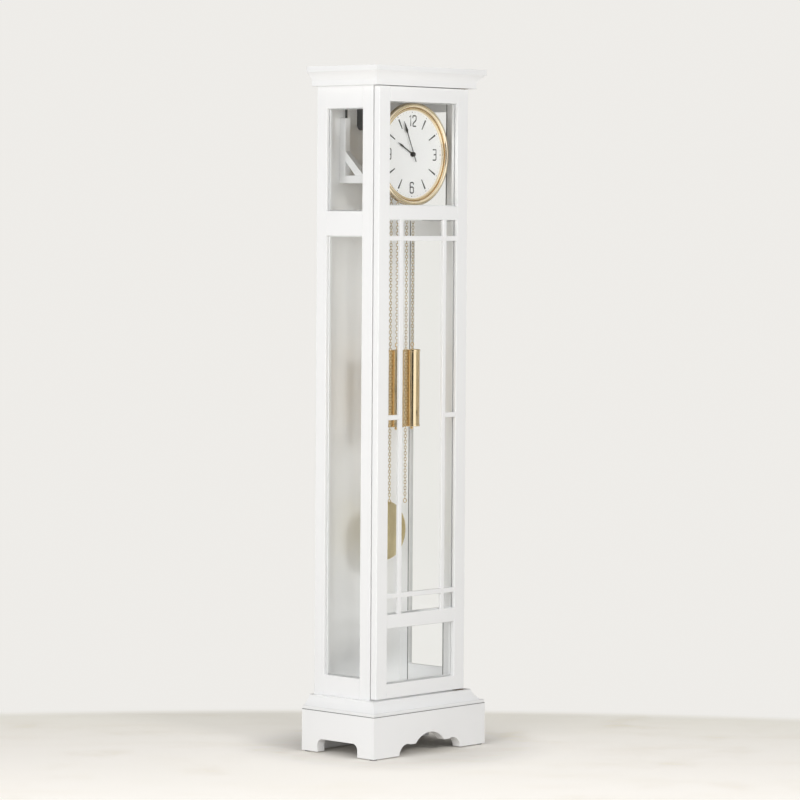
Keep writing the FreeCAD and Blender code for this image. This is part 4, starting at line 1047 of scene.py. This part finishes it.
def makeRatingNut():
    low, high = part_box("rating_nut")
    middle = (low + high) / 2
    nut = startPiece("cylinder", "knurled_nut", vertices=ratingNut["sides"], radius=(high.x - low.x) / 2,
                     depth=high.z - low.z, location=middle)
    editWhole()
    pickParts(nut, "polygons", lambda face: abs(face.normal.z) < 0.5)
    bpy.ops.mesh.inset(thickness=ratingNut["knurl"], depth=-ratingNut["groove"], use_individual=True)
    pickParts(nut, "polygons", lambda face: abs(face.normal.z) > 0.9 and len(face.vertices) > 4)
    bpy.ops.mesh.bevel(offset=ratingNut["bevel"], segments=ratingNut["bevelSteps"])
    smooth(settle(nut), "knurl")
    finishPiece(nut, polishedBrass, "polished_brass", "pendulum", "rating_nut")


makeBob()
makeRatingNut()
print("pendulum dressed")

# Screws and nuts: a round head with an eased edge and a round socket, its sizes counted in radii
screwLook = {"sides": 24, "height": 0.8, "bevel": 0.3, "bevelSteps": 3, "socket": 0.5, "socketDepth": 0.9}


def makeScrew(name, place, axis, radius):
    # a head that stands on place and looks along axis
    height = radius * screwLook["height"]
    way = Vector(axis)
    head = startPiece("cylinder", name, vertices=screwLook["sides"], radius=radius, depth=height,
                      location=Vector(place) + way * height / 2,
                      rotation=way.to_track_quat("Z", "Y").to_euler())
    editWhole()
    pickParts(head, "polygons", lambda face: face.normal.z > 0.9)
    bpy.ops.mesh.bevel(offset=radius * screwLook["bevel"], segments=screwLook["bevelSteps"])
    pickParts(head, "polygons", lambda face: face.normal.z > 0.99 and len(face.vertices) > 4)
    bpy.ops.mesh.inset(thickness=radius * (1 - screwLook["bevel"] - screwLook["socket"]))
    bpy.ops.mesh.extrude_region_move(
        TRANSFORM_OT_translate={"value": -way * height * screwLook["socketDepth"]})
    return smooth(settle(head), "screws")


def makeScrewSet(name, places, axis, radius, finish, slot):
    heads = [makeScrew(name, place, axis, radius) for place in places]
    finishPiece(joinPieces(heads, name), finish, slot, "root")


blockScrews = {"inset": 12 * mm, "radius": 3.4 * mm}
panelScrews = {"inset": 14 * mm, "radius": 1.6 * mm, "rows": 6}
plateNuts = {"inset": 8 * mm, "radius": 4.0 * mm}


def cornerSpots(low, high, inset, y):
    return [(x, y, z) for x in (low.x + inset, high.x - inset) for z in (low.z + inset, high.z - inset)]


def makeScrews():
    low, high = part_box("chime_block")
    spots = cornerSpots(low, high, blockScrews["inset"], low.y)
    makeScrewSet("chime_block_screws", spots, (0, -1, 0), blockScrews["radius"], groundSteel, "bright_steel")
    low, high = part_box("back_panel")
    inset, rows = panelScrews["inset"], panelScrews["rows"]
    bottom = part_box("plinth_back_rail")[1].z + inset
    top = high.z - inset
    heights = [bottom + (top - bottom) * row / (rows - 1) for row in range(rows)]
    spots = [(x, high.y, z) for x in (low.x + inset, 0, high.x - inset) for z in heights
             if x or z in (heights[0], heights[-1])]
    makeScrewSet("back_panel_screws", spots, (0, 1, 0), panelScrews["radius"], groundSteel, "bright_steel")
    low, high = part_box("movement_front_plate")
    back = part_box("movement_back_plate")[1].y
    for name, y, axis in (("front_plate_nuts", low.y, (0, -1, 0)), ("back_plate_nuts", back, (0, 1, 0))):
        makeScrewSet(name, cornerSpots(low, high, plateNuts["inset"], y), axis, plateNuts["radius"],
                     satinBrass, "movement_brass")


makeScrews()
print("screws driven")
